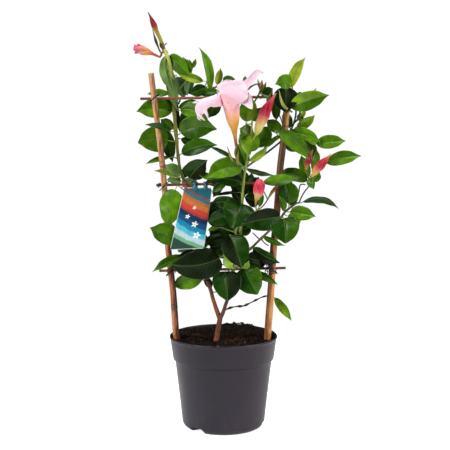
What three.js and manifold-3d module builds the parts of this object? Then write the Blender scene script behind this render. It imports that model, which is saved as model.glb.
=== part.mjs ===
// Flowering mandevilla on a bamboo trellis, in its round nursery pot.
// Millimetres, +Z up, origin at the centre of the pot's underside.
// The plant's layout was read off a front view: a layout row gives columns and rows of that view
// and a depth in millimetres behind the pot's axis, and place() turns them into a real position.
import * as THREE from 'three';
import { mergeVertices } from 'three/addons/utils/BufferGeometryUtils.js';
import Module from 'manifold-3d';

const wasm = await Module();
wasm.setup();

// Driving dimensions of the pot
const RIM_RADIUS = 85;
const POT_HEIGHT = 144.8;
const COLLAR_FOOT = 107.8;
const COLLAR_FOOT_RADIUS = 79.6;
const BODY_TOP_RADIUS = 76.5;
const BASE_RADIUS = 65.2;
const CORNER_RADIUS = 9;
const WALL = 1.4;
const FLOOR = 3;
const POT_SIDES = 30;
const DRAIN_TURNS = [-131, -11, 109];
const DRAIN_WIDTH = 27;
const DRAIN_HEIGHT = 8;

// Driving dimensions of the soil and trellis
const SOIL_LEVEL = 140.8;
const GAP = 0.35;
const CANE_DEPTH = -10;
const STICK_RADIUS = 2.2;
const WIRE_RADIUS = 0.9;
const BLADE = 0.8;
const PETIOLE_RADIUS = 1.1;
const SMALLEST_STEP = 0.15;

// Front view that the layout was read from
const VIEW_FOCAL = 965;
const VIEW_CENTRE = 225;
const VIEW_DISTANCE = 1500;
const VIEW_HEIGHT = 476.8;
const VIEW_SIDE = 2.4;
const VIEW_PITCH = THREE.MathUtils.degToRad(6);
const MM_PER_PIXEL = 1.565;

const colours = {
  pot: { color: 0x4b4752, roughness: 0.45 },
  soil: { color: 0x231a16, roughness: 0.95 },
  cane: { color: 0xb9743f, roughness: 0.55 },
  stick: { color: 0x8a4a2c, roughness: 0.6 },
  wire: { color: 0x17151a, roughness: 0.5 },
  card: { color: 0x1b7f93, roughness: 0.35 },
  wood: { color: 0x7a4a34, roughness: 0.75 },
  leaf: { color: 0x2e5a1c, roughness: 0.3 },
  petal: { color: 0xf7c9dc, roughness: 0.5 },
  bud: { color: 0xc93a52, roughness: 0.45 },
};

const v = (x, y, z) => new THREE.Vector3(x, y, z);

// Real position of a column and row of the front view at a depth behind the pot's axis
function place([column, row, depth]) {
  const slope = (row - VIEW_CENTRE) / VIEW_FOCAL;
  const cos = Math.cos(VIEW_PITCH);
  const sin = Math.sin(VIEW_PITCH);
  const reach = VIEW_DISTANCE + depth;
  const drop = (reach * (sin + slope * cos)) / (cos - slope * sin);
  const forward = reach * cos + drop * sin;
  const side = ((column - VIEW_CENTRE) / VIEW_FOCAL) * forward;
  return v(VIEW_SIDE + side, depth, VIEW_HEIGHT - drop);
}

const VIEW_POINT = v(VIEW_SIDE, -VIEW_DISTANCE, VIEW_HEIGHT);

// Closed solid from a list of points and a list of triangles
function solid(points, triangles) {
  const positions = points.flatMap((p) => [p.x, p.y, p.z]);
  return new wasm.Manifold(new wasm.Mesh({
    numProp: 3,
    vertProperties: new Float32Array(positions),
    triVerts: new Uint32Array(triangles),
  }));
}

// Closed solid from a three.js geometry
function solidFrom(geometry) {
  const bare = geometry.clone();
  bare.deleteAttribute('normal');
  bare.deleteAttribute('uv');
  const merged = mergeVertices(bare, 1e-4);
  return new wasm.Manifold(new wasm.Mesh({
    numProp: 3,
    vertProperties: new Float32Array(merged.attributes.position.array),
    triVerts: new Uint32Array(merged.index.array),
  }));
}

const fuse = (solids) => solids.reduce((whole, next) => whole.add(next));

// Rings of points joined into a closed skin, with flat ends or, when looped, back onto the first ring
function skin(rings, looped = false) {
  const sides = rings[0].length;
  const points = rings.flat();
  const triangles = [];
  const spans = looped ? rings.length : rings.length - 1;
  for (let i = 0; i < spans; i += 1) {
    const here = i * sides;
    const next = ((i + 1) % rings.length) * sides;
    for (let j = 0; j < sides; j += 1) {
      const k = (j + 1) % sides;
      triangles.push(here + j, here + k, next + k, here + j, next + k, next + j);
    }
  }
  if (!looped) {
    const last = (rings.length - 1) * sides;
    for (let j = 1; j < sides - 1; j += 1) {
      triangles.push(0, j + 1, j, last, last + j, last + j + 1);
    }
  }
  return solid(points, triangles);
}

// Evenly spread points of a smooth curve through the given points
function smooth(points, steps) {
  if (points.length === 2 && steps < 2) return points;
  const curve = new THREE.CatmullRomCurve3(points, false, 'centripetal');
  return curve.getSpacedPoints(steps);
}

// Round rod along a path; its radius is read off a short list from start to end
function rod(path, radii, sides) {
  const rings = [];
  let across = null;
  path.forEach((point, i) => {
    const before = path[Math.max(i - 1, 0)];
    const after = path[Math.min(i + 1, path.length - 1)];
    const ahead = after.clone().sub(before).normalize();
    if (!across) across = Math.abs(ahead.y) < 0.8 ? v(0, 1, 0) : v(1, 0, 0);
    across.addScaledVector(ahead, -across.dot(ahead)).normalize();
    const other = ahead.clone().cross(across);
    const radius = along(radii, i / (path.length - 1));
    const ring = [];
    for (let j = 0; j < sides; j += 1) {
      const turn = (2 * Math.PI * j) / sides;
      ring.push(point.clone()
        .addScaledVector(across, radius * Math.cos(turn))
        .addScaledVector(other, radius * Math.sin(turn)));
    }
    rings.push(ring);
  });
  return skin(rings);
}

// Proportions of stems and leaves. STATIONS gives, for leaves longer than the first figure, where
// along the midrib the blade's sections lie.
const STEM_SIDES = 5;
const TWIG_SIDES = 4;
const STEM_STEP = 26;
const ROOT_STEP = 2;
const ROOT_BACK = 2;
const LEAF_FOLD = 14;
const SHORT_PETIOLE = 7;
const STATIONS = [
  [58, [0.1, 0.32, 0.62, 0.87, 1]],
  [30, [0.13, 0.43, 0.8, 1]],
  [0, [0.24, 0.66, 1]],
];

// Half width of a leaf, as a share of its widest, from its base at 0 to its drawn-out tip at 1.
// Broad leaves are widest nearer their base.
function leafOutline(s, width) {
  const broad = THREE.MathUtils.smoothstep(width, 28, 50);
  const body = Math.sin(Math.PI * s ** (0.8 - 0.14 * broad)) ** (0.72 - 0.12 * broad);
  const tail = 1 - (0.55 - 0.3 * broad) * THREE.MathUtils.smoothstep(s, 0.72 + 0.1 * broad, 0.98);
  return Math.max(body * tail, 0.02);
}

// Leaf in one skin: a petiole from its root to the blade's base, then a thin arched and folded blade.
// The upper face looks at the viewer when roll is 0. bow bends the midrib sideways in the view, lift
// arches it towards the upper face, and LEAF_FOLD raises the halves on both sides of the midrib.
function leafSolid(root, base, tip, width, roll, bow, lift) {
  const ahead = tip.clone().sub(base).normalize();
  const middle = base.clone().add(tip).multiplyScalar(0.5);
  const toViewer = VIEW_POINT.clone().sub(middle).normalize();
  const facing = toViewer.addScaledVector(ahead, -toViewer.dot(ahead)).normalize();
  const sideways = ahead.clone().cross(facing);
  const angle = THREE.MathUtils.degToRad(roll);
  const up = facing.clone().multiplyScalar(Math.cos(angle)).addScaledVector(sideways, Math.sin(angle));
  const bend = middle.clone().addScaledVector(sideways, 2 * bow).addScaledVector(up, 2 * lift);
  const midrib = new THREE.QuadraticBezierCurve3(base, bend, tip);
  const rise = Math.tan(THREE.MathUtils.degToRad(LEAF_FOLD));
  const stations = STATIONS.find(([length]) => base.distanceTo(tip) > length)[1];
  const first = midrib.getTangent(0);
  const outwards = base.clone().sub(root).normalize();
  const turned = outwards.clone().add(first).normalize();
  const petiole = [petioleRing(root, outwards, up)];
  if (root.distanceTo(base) > SHORT_PETIOLE) petiole.push(petioleRing(base, turned, up));
  const rings = stations.map((s) => {
    const point = midrib.getPoint(s);
    const tangent = midrib.getTangent(s);
    const top = up.clone().addScaledVector(tangent, -up.dot(tangent)).normalize();
    const side = tangent.clone().cross(top);
    const half = (width / 2) * leafOutline(s, width);
    const fold = point.clone().addScaledVector(top, half * rise);
    const edge = (sign) => fold.clone().addScaledVector(side, sign * half);
    return bladeRing(edge(-1), point, edge(1), top);
  });
  return bladeSkin(rings, petiole);
}

// Three upper and three lower points of a thin section
function bladeRing(left, middle, right, top) {
  const shift = top.clone().multiplyScalar(BLADE / 2);
  const upper = [left, middle, right].map((p) => p.clone().add(shift));
  const lower = [right, middle, left].map((p) => p.clone().sub(shift));
  return [...upper, ...lower];
}

// Square section of a petiole: two upper and then two lower corners
function petioleRing(centre, direction, up) {
  const top = up.clone().addScaledVector(direction, -up.dot(direction)).normalize();
  const side = direction.clone().cross(top);
  return [135, 45, -45, -135].map((degrees) => {
    const turn = THREE.MathUtils.degToRad(degrees);
    return centre.clone().addScaledVector(side, PETIOLE_RADIUS * Math.cos(turn))
      .addScaledVector(top, PETIOLE_RADIUS * Math.sin(turn));
  });
}

// Skin of a blade, with the square petiole that runs into it if there is one. The blade is split
// into triangles alike on both faces.
function bladeSkin(rings, petiole = []) {
  const points = [...petiole.flat(), ...rings.flat()];
  const triangles = [];
  const quad = (a, b, c, d) => triangles.push(a, b, c, a, c, d);
  const b = petiole.length * 4;
  for (let i = 1; i < petiole.length; i += 1) {
    const h = (i - 1) * 4;
    [0, 1, 2, 3].forEach((j) => quad(h + j, h + ((j + 1) % 4), h + 4 + ((j + 1) % 4), h + 4 + j));
  }
  if (petiole.length) {
    const p = b - 4;
    triangles.push(0, 2, 1, 0, 3, 2);
    triangles.push(p, p + 1, b + 1, p, b + 1, b, p + 1, b + 2, b + 1);
    quad(p + 1, p + 2, b + 3, b + 2);
    triangles.push(p + 2, p + 3, b + 4, p + 2, b + 4, b + 3, p + 3, b + 5, b + 4);
    quad(p + 3, p, b, b + 5);
  } else {
    triangles.push(0, 4, 1, 0, 5, 4, 1, 3, 2, 1, 4, 3);
  }
  for (let i = 0; i < rings.length - 1; i += 1) {
    const h = b + i * 6;
    const n = h + 6;
    quad(h, h + 1, n + 1, n);
    quad(h + 1, h + 2, n + 2, n + 1);
    triangles.push(h + 4, h + 5, n + 4, h + 5, n + 5, n + 4);
    triangles.push(h + 3, h + 4, n + 3, h + 4, n + 4, n + 3);
    quad(h + 2, h + 3, n + 3, n + 2);
    quad(h + 5, h, n, n + 5);
  }
  const e = b + (rings.length - 1) * 6;
  triangles.push(e, e + 1, e + 4, e, e + 4, e + 5, e + 1, e + 2, e + 3, e + 1, e + 3, e + 4);
  return solid(points, triangles);
}

// Point on a stem's line nearest to a leaf's base, a little lower down the stem
function rootOn(lines, base) {
  let best = { distance: Infinity };
  lines.forEach((points) => {
    points.forEach((point, i) => {
      const distance = point.distanceTo(base);
      if (distance < best.distance) best = { distance, point: points[Math.max(i - ROOT_BACK, 0)] };
    });
  });
  return best.point.clone();
}

// Leafy stem: its rods, and each leaf with its petiole sunk in the nearest rod, or in the one that
// its row names last. A side stem starts on the nearest point of the stems before it.
function leafyStem({ stems, leaves }) {
  const lines = [];
  const pieces = [];
  stems.forEach(({ path, radii }) => {
    const points = path.map(place);
    if (lines.length) points.unshift(nearestOn(lines, points[0]));
    const course = smooth(points, Math.max(2, Math.round(pathLength(points) / STEM_STEP)));
    pieces.push(rod(course, radii, lines.length ? TWIG_SIDES : STEM_SIDES));
    lines.push(divided(course));
  });
  leaves.forEach((row) => {
    const [bc, br, bd, tc, tr, td, width, roll, bow, lift, stem] = row;
    const base = place([bc, br, bd]);
    const tip = place([tc, tr, td]);
    const root = rootOn(stem === undefined ? lines : [lines[stem]], base);
    pieces.push(leafSolid(root, base, tip, width * MM_PER_PIXEL, roll, bow, lift));
  });
  return fuse(pieces);
}

// A course's straight stretches, divided into short steps
function divided(course) {
  return course.slice(1).flatMap((end, i) => {
    const count = Math.max(1, Math.round(end.distanceTo(course[i]) / ROOT_STEP));
    return Array.from({ length: count }, (_, j) => course[i].clone().lerp(end, j / count));
  });
}

function pathLength(points) {
  return points.slice(1).reduce((sum, point, i) => sum + point.distanceTo(points[i]), 0);
}

function nearestOn(curves, target) {
  return curves.flat().reduce((best, point) => (
    point.distanceTo(target) < best.distanceTo(target) ? point : best)).clone();
}

// Stem's own rod, thicker all round by the clearance, to cut a neighbour back from it
function cleared(path, radius) {
  const points = path.map(place);
  return rod(smooth(points, 12), [radius + GAP, radius + GAP], 6);
}

// Pot
function potSolid() {
  const corner = [];
  for (let i = 0; i <= 3; i += 1) {
    const turn = (Math.PI / 2) * (i / 3);
    corner.push([BASE_RADIUS - CORNER_RADIUS + CORNER_RADIUS * Math.sin(turn),
      CORNER_RADIUS - CORNER_RADIUS * Math.cos(turn)]);
  }
  const profile = [
    [0, 0],
    ...corner,
    [BODY_TOP_RADIUS, COLLAR_FOOT - 1],
    [COLLAR_FOOT_RADIUS - 0.8, COLLAR_FOOT],
    [COLLAR_FOOT_RADIUS, COLLAR_FOOT + 1.2],
    [RIM_RADIUS - 1, POT_HEIGHT - 4],
    [RIM_RADIUS, POT_HEIGHT - 2.5],
    [RIM_RADIUS - 0.6, POT_HEIGHT],
    [RIM_RADIUS - 2, POT_HEIGHT],
    [RIM_RADIUS - 2.6, POT_HEIGHT - 1],
    [COLLAR_FOOT_RADIUS - WALL, COLLAR_FOOT + 2.5],
    [BODY_TOP_RADIUS - WALL, COLLAR_FOOT - 2],
    [BASE_RADIUS - WALL - 0.2, CORNER_RADIUS + 1],
    [BASE_RADIUS - CORNER_RADIUS, FLOOR],
    [0, FLOOR],
  ].map(([r, z]) => new THREE.Vector2(r, z));
  const geometry = new THREE.LatheGeometry(profile, POT_SIDES);
  geometry.rotateX(Math.PI / 2);
  let pot = solidFrom(geometry);
  DRAIN_TURNS.forEach((turn) => {
    const cut = new THREE.Shape();
    cut.moveTo(-DRAIN_WIDTH / 2, -2);
    cut.lineTo(DRAIN_WIDTH / 2, -2);
    cut.lineTo(DRAIN_WIDTH / 2 - 3, DRAIN_HEIGHT * 0.7);
    cut.lineTo(DRAIN_WIDTH / 2 - 7, DRAIN_HEIGHT);
    cut.lineTo(-DRAIN_WIDTH / 2 + 7, DRAIN_HEIGHT);
    cut.lineTo(-DRAIN_WIDTH / 2 + 3, DRAIN_HEIGHT * 0.7);
    cut.closePath();
    const wedge = new THREE.ExtrudeGeometry(cut, { depth: 20, bevelEnabled: false });
    wedge.rotateX(Math.PI / 2);
    wedge.translate(0, BASE_RADIUS + 8, 0);
    wedge.rotateZ(THREE.MathUtils.degToRad(turn - 90));
    pot = pot.subtract(solidFrom(wedge));
  });
  return pot;
}

// Soil: fills the pot to its level, with a gently mounded top
function soilHeight(x, y) {
  const mound = 3.5 * (1 - (x * x + y * y) / (RIM_RADIUS * RIM_RADIUS)) + 0.03 * y;
  const heap = 4 * Math.exp(-((x - 30) ** 2 + (y - 76) ** 2) / 700);
  const lumps = 1.3 * Math.sin(0.19 * x + 1.1) * Math.cos(0.23 * y - 0.4);
  const crumbs = 0.8 * Math.sin(0.41 * x - 0.33 * y);
  return SOIL_LEVEL - 1.5 + mound + lumps + crumbs + heap;
}

function soilSolid() {
  const inset = GAP + 0.25;
  const wallRows = [
    [BASE_RADIUS - CORNER_RADIUS - 2, FLOOR + inset],
    [BASE_RADIUS - WALL - 0.2 - inset, CORNER_RADIUS + 2],
    [BODY_TOP_RADIUS - WALL - inset, COLLAR_FOOT - 2],
    [COLLAR_FOOT_RADIUS - WALL - inset, COLLAR_FOOT + 3.5],
  ];
  const sides = POT_SIDES;
  const edge = COLLAR_FOOT_RADIUS + 1.1 - inset;
  const topRows = [edge, 58, 32];
  const rings = [];
  const ringAt = (radius, height) => {
    const ring = [];
    for (let j = 0; j < sides; j += 1) {
      const turn = (2 * Math.PI * j) / sides;
      const x = radius * Math.cos(turn);
      const y = radius * Math.sin(turn);
      ring.push(v(x, y, height === null ? soilHeight(x, y) : height));
    }
    return ring;
  };
  wallRows.forEach(([radius, height]) => rings.push(ringAt(radius, height)));
  topRows.forEach((radius) => rings.push(ringAt(radius, null)));
  rings.push(ringAt(8, null));
  return skin(rings);
}

// Canes: each stands in the soil and leans outwards
const canes = {
  left: {
    path: [[151, 73.4], [157, 120], [161.4, 156], [164.3, 186], [168.5, 250], [173.1, 291], [177, 341]],
    buried: [[-67.4, 112], [-62, 90], [-55, 60], [-50, 34]],
    radii: [5.0, 4.6],
  },
  right: {
    path: [[288, 91], [284.6, 132], [281.1, 160], [280.2, 168], [277, 211], [273.4, 250], [271.4, 283],
      [268, 330], [267.2, 341]],
    buried: [[66, 112], [61, 90], [54, 60], [48, 34]],
    radii: [6.1, 5.2],
  },
};

function canePoints({ path, buried }) {
  const shown = path.map(([column, row]) => place([column, row, CANE_DEPTH]));
  const below = buried.map(([x, z]) => v(x, CANE_DEPTH, z));
  return [...below.reverse(), ...shown.reverse()];
}

function caneSolid(cane, extra = 0) {
  const radii = [...cane.radii].map((radius) => radius + extra);
  return rod(smooth(canePoints(cane), 12), radii, 9);
}

// Crossbars: thin sticks tied behind both canes
const crossbars = {
  top: [[140.5, 98.8], [297, 96.5]],
  middle: [[156.5, 185.2], [292, 182]],
  lower: [[159.5, 270.8], [285.5, 268]],
};

const BAR_DEPTH_LEFT = CANE_DEPTH + 5 + STICK_RADIUS + GAP;
const BAR_DEPTH_RIGHT = CANE_DEPTH + 6.1 + STICK_RADIUS + GAP;

function barPoints([start, end]) {
  return [place([...start, BAR_DEPTH_LEFT]), place([...end, BAR_DEPTH_RIGHT])];
}

// Wire loop round the crossing of a cane and a stick, lying aslant between them
function tieSolid(caneRadius, crossing, lean) {
  const halfDeep = (caneRadius + 2 * STICK_RADIUS + caneRadius) / 2 + WIRE_RADIUS + GAP + 0.9;
  const halfWide = caneRadius * 1.42 + WIRE_RADIUS + 2.1;
  const centre = crossing.clone().add(v(0, STICK_RADIUS + GAP / 2, 0));
  const aslant = v(Math.cos(lean), 0, Math.sin(lean));
  const normal = v(-Math.sin(lean), 0, Math.cos(lean));
  const rings = [];
  const turns = 10;
  for (let i = 0; i < turns; i += 1) {
    const turn = (2 * Math.PI * i) / turns;
    const square = (value) => Math.sign(value) * Math.abs(value) ** 0.8;
    const outward = aslant.clone().multiplyScalar(Math.cos(turn)).add(v(0, Math.sin(turn), 0));
    const point = centre.clone().addScaledVector(aslant, halfWide * square(Math.cos(turn)))
      .add(v(0, halfDeep * square(Math.sin(turn)), 0));
    const ring = [];
    for (let j = 0; j < 4; j += 1) {
      const around = (Math.PI * j) / 2;
      ring.push(point.clone().addScaledVector(outward, WIRE_RADIUS * Math.cos(around))
        .addScaledVector(normal, WIRE_RADIUS * Math.sin(around)));
    }
    rings.push(ring);
  }
  const loop = skin(rings, true);
  return loop.volume() > 0 ? loop : skin(rings.reverse(), true);
}

// Where a cane's axis passes a given height
function caneAt(cane, height) {
  const points = smooth(canePoints(cane), 200);
  return points.reduce((best, p) => (Math.abs(p.z - height) < Math.abs(best.z - height) ? p : best)).clone();
}

// Hanging card: a tapered plate that leans forward, with straps over the middle stick
const CARD_THICKNESS = 0.9;
const CARD_CORNERS = [[184, 187.5, -12], [212.3, 187.5, -12], [204, 248.5, -32], [169.8, 250, -32]];
const STRAP_COLUMNS = [[185.5, 4.5], [195, 8], [205.5, 6.5]];

function cardSolid() {
  const [tl, tr, br, bl] = CARD_CORNERS.map(place);
  const right = tr.clone().sub(tl);
  const down = bl.clone().sub(tl);
  const facing = down.clone().cross(right).normalize();
  const thick = facing.clone().multiplyScalar(-CARD_THICKNESS);
  const cut = 0.08;
  const outline = [
    tl.clone().lerp(tr, cut), tr.clone().lerp(tl, cut), tr.clone().lerp(br, cut * 0.6),
    br.clone().lerp(tr, cut * 0.3), br.clone().lerp(bl, cut * 0.5), bl.clone().lerp(br, cut * 0.5),
    bl.clone().lerp(tl, cut * 0.3), tl.clone().lerp(bl, cut * 0.6),
  ];
  const front = outline;
  const back = outline.map((p) => p.clone().add(thick));
  const plate = skin([front, back]);
  const pieces = [plate.volume() > 0 ? plate : skin([back, front])];
  const bar = barPoints(crossbars.middle);
  STRAP_COLUMNS.forEach(([column, width]) => pieces.push(strapSolid(column, width, bar)));
  return fuse(pieces);
}

// Strap: a narrow band up from the card, over the stick and down behind it
function strapSolid(column, width, bar) {
  const foot = place([column, 190, -12.6]);
  const share = (foot.x - bar[0].x) / (bar[1].x - bar[0].x);
  const over = bar[0].clone().lerp(bar[1], share);
  const reach = STICK_RADIUS + GAP + 0.5;
  const side = [
    [foot.y - 0.1, foot.z], [foot.y + 0.2, over.z + 1], [over.y - reach, over.z + reach],
    [over.y, over.z + reach + 0.8], [over.y + reach + 0.4, over.z + reach - 1],
    [over.y + reach + 1, over.z - 7],
  ];
  const thickness = 0.8;
  const rings = side.map(([y, z], i) => {
    const before = side[Math.max(i - 1, 0)];
    const after = side[Math.min(i + 1, side.length - 1)];
    const dy = after[0] - before[0];
    const dz = after[1] - before[1];
    const length = Math.hypot(dy, dz);
    const out = [(-dz / length) * thickness, (dy / length) * thickness];
    const left = foot.x - width / 2;
    const right = foot.x + width / 2;
    const outerY = y + out[0];
    const outerZ = z + out[1];
    return [v(left, y, z), v(right, y, z), v(right, outerY, outerZ), v(left, outerY, outerZ)];
  });
  const band = skin(rings);
  return band.volume() > 0 ? band : skin(rings.reverse());
}

// Woody foot of the plant: trunk, two branches and the bare knotty twig
const trunkPath = [[215.5, 345, -29], [217.5, 334, -27], [219, 324, -24], [220, 319, -23]];
const leftBranch = [[220, 319, -23], [216.3, 309, -20], [212.8, 298, -17], [210.2, 288.5, -14],
  [207, 280, -12]];
const rightBranch = [[220, 319, -23], [223.6, 311, -24], [225.5, 305, -24], [227.4, 299, -23],
  [229, 290, -21]];
const bareTwig = [[224, 310.6, -24], [230.6, 307.7, -20], [237.6, 306.4, -16], [243.7, 305.8, -12],
  [254, 301, -6], [262.5, 297, 0], [267, 296, 2], [271.5, 296.5, 2.5]];
const sideTwig = [[199.5, 279.3, -16], [206, 280.6, -16.5], [213.5, 281.6, -15]];
const TWIG_RADII = [1.4, 1.0, 2.3, 0.9, 1.0, 2.3, 0.9, 2.2, 0.9, 0.9, 1.9, 0.9, 0.9, 1.6, 0.9, 0.9];
const TRUNK_RADII = [3, 4.4, 4.5, 4.1, 3.9];
const rootPoints = [v(-8, -14, 62), v(-11, -23, 100)];

function trunkPoints() {
  return smooth([...rootPoints, ...trunkPath.map(place)], 8);
}

function mainStemSolid() {
  return fuse([
    rod(trunkPoints(), TRUNK_RADII, 7),
    rod(smooth(leftBranch.map(place), 6), [3.6, 3.1, 2.9], 6),
    rod(smooth(rightBranch.map(place), 4), [3.2, 2.8, 2.6], 6),
    rod(smooth(bareTwig.map(place), TWIG_RADII.length - 1), TWIG_RADII, 5),
    rod(sideTwig.map(place), [0.8, 0.9, 0.6], 5),
  ]);
}

// Layout rows of leaves: base column, row, depth; tip column, row, depth; width in columns; roll in
// degrees; bow and lift in millimetres
const leftVine = {
  stems: [
    {
      path: [[206.8, 279.6, -12], [203.2, 271.5, -10.5], [199, 258, -12], [196.5, 243, -15], [193, 225, -13],
        [189.5, 205, -3], [185, 184, 7], [179.8, 167, 9], [177.8, 153, 9], [176.7, 141, 8], [175.7, 131, 7],
        [174.9, 120, 7], [173.7, 106, 9], [173.2, 90, 10], [172.4, 68, 9], [169.7, 61, 8], [166.6, 55, 7],
        [164.4, 49, 6]],
      radii: [2.7, 2.4, 2.0, 1.9, 1.9, 2.1],
    },
    {
      path: [[178.3, 104, 8], [181, 98, 9], [190, 92.5, 9], [205, 90, 8], [216, 87, 8], [226, 84, 8]],
      radii: [1.5, 1.0],
    },
    { path: [[176, 92, 11], [184, 84, 13], [190, 75, 13], [192, 69.5, 13]], radii: [1.3, 0.9] },
    { path: [[161.5, 53, 8], [156.6, 43, 12], [152.4, 31.5, 13]], radii: [1.5, 1.2, 0.7] },
    { path: [[160.5, 57, 5], [156, 55.3, 3], [152.6, 53.8, 2]], radii: [1.08, 1.06] },
  ],
  leaves: [
    [165.5, 56, 4, 170.5, 90, 1, 12, 155, 3, 1],
    [170.5, 70, 5, 177, 110, 3, 12, 165, 1, 1],
    [169, 56.5, 5, 190, 77, -8, 16, 25, -4, 4],
    [190, 75, 14, 182.5, 56.5, 20, 9, 20, 0, 2],
    [191.5, 69, 13, 189, 59, 15, 4, 0, 0, 0],
    [192.5, 68, 12, 196, 58.5, 9, 4.5, 20, 0, 0],
    [203, 81, 8, 175, 71.5, -4, 9, 15, -2, 2],
    [177, 77, 14, 184, 99, 22, 15, 200, 0, 2],
    [193, 77, 9, 187, 96, 4, 10, 155, 1, 1],
    [206, 87, 7, 189, 94, 5, 12, 10, -1, 1],
    [217, 92, 7, 199, 95.5, 6, 9, 20, 1, 2],
    [209, 89.5, 8, 198.8, 47, 4, 9.5, 25, 6, 2],
    [211.3, 89, 10, 211.3, 59.5, 18, 6.5, -20, -1, 1],
    [217, 84.5, 7, 220.8, 67.8, 4, 7.5, 10, 0, 1],
    [223.5, 81, 8, 235.5, 79.5, 2, 8, 20, -3, 2],
    [168.5, 94, 11, 147, 94, 14, 10, 40, 0, 1],
    [172, 111.5, 9, 136.4, 111.7, 9, 20, 12, 4, 2],
    [180.5, 110, 4, 208.5, 122, -14, 17, -10, -7, 3],
    [218, 101, 8, 208.5, 118, 5, 13, 0, 0, 2, 1],
    [181, 133, 2, 217, 129.5, -18, 23, 10, -8, 3],
    [171, 131, -18, 145, 124.5, -31, 12, 60, -1, 2],
    [173, 129, 9, 160.5, 119, 14, 11, 0, 0, 1],
    [168, 140.5, 9, 138, 143, 4, 26, 8, 3, 2],
    [165.5, 129, 13, 173, 162.5, 22, 14, -15, 2, 2],
    [169, 157.5, 12, 145.5, 164, 14, 6, 30, 1, 1],
    [172, 176, -19, 154, 170.5, -25, 8, 60, 0, 1],
    [179, 176.5, 3, 164.5, 164.5, 3, 15, 160, 0, 1],
    [181, 181, 12, 166, 180, 18, 10, 150, 0, 1],
    [182, 153.5, 4, 217.5, 145, -16, 16, -12, -4, 3],
    [181, 139, 12, 201, 146, 26, 10, 10, -1, 2],
    [190, 178, 8, 207.5, 160, -8, 21, 5, -3, 3],
    [183, 178, 12, 190, 163, 24, 9, 0, 0, 1],
    [175.5, 190, -12, 169.5, 227, -20, 25, -17, 4, 1],
    [178, 237, -18, 150, 227.5, -26, 22, 12, -2, 2],
    [184, 256.5, -17, 152.3, 272, -24, 11, 35, 1, 3],
    [203, 275.5, -9, 171.5, 286, 1, 17, -10, 0, 2],
    [201, 214, 4, 222, 203, 22, 16, 20, 0, 3],
    [198, 233, 2, 202, 252, 24, 17, -20, 0, 3],
    [192, 240, 0, 178, 252, 20, 15, -25, 0, 3],
    [180, 125, 20, 190, 108, 36, 14, 25, 0, 3],
    [184, 186, 20, 197, 176, 38, 14, 160, 0, 3],
    [179, 108, 6, 200, 102, 8, 9, 10, -2, 2],
  ],
};

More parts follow.
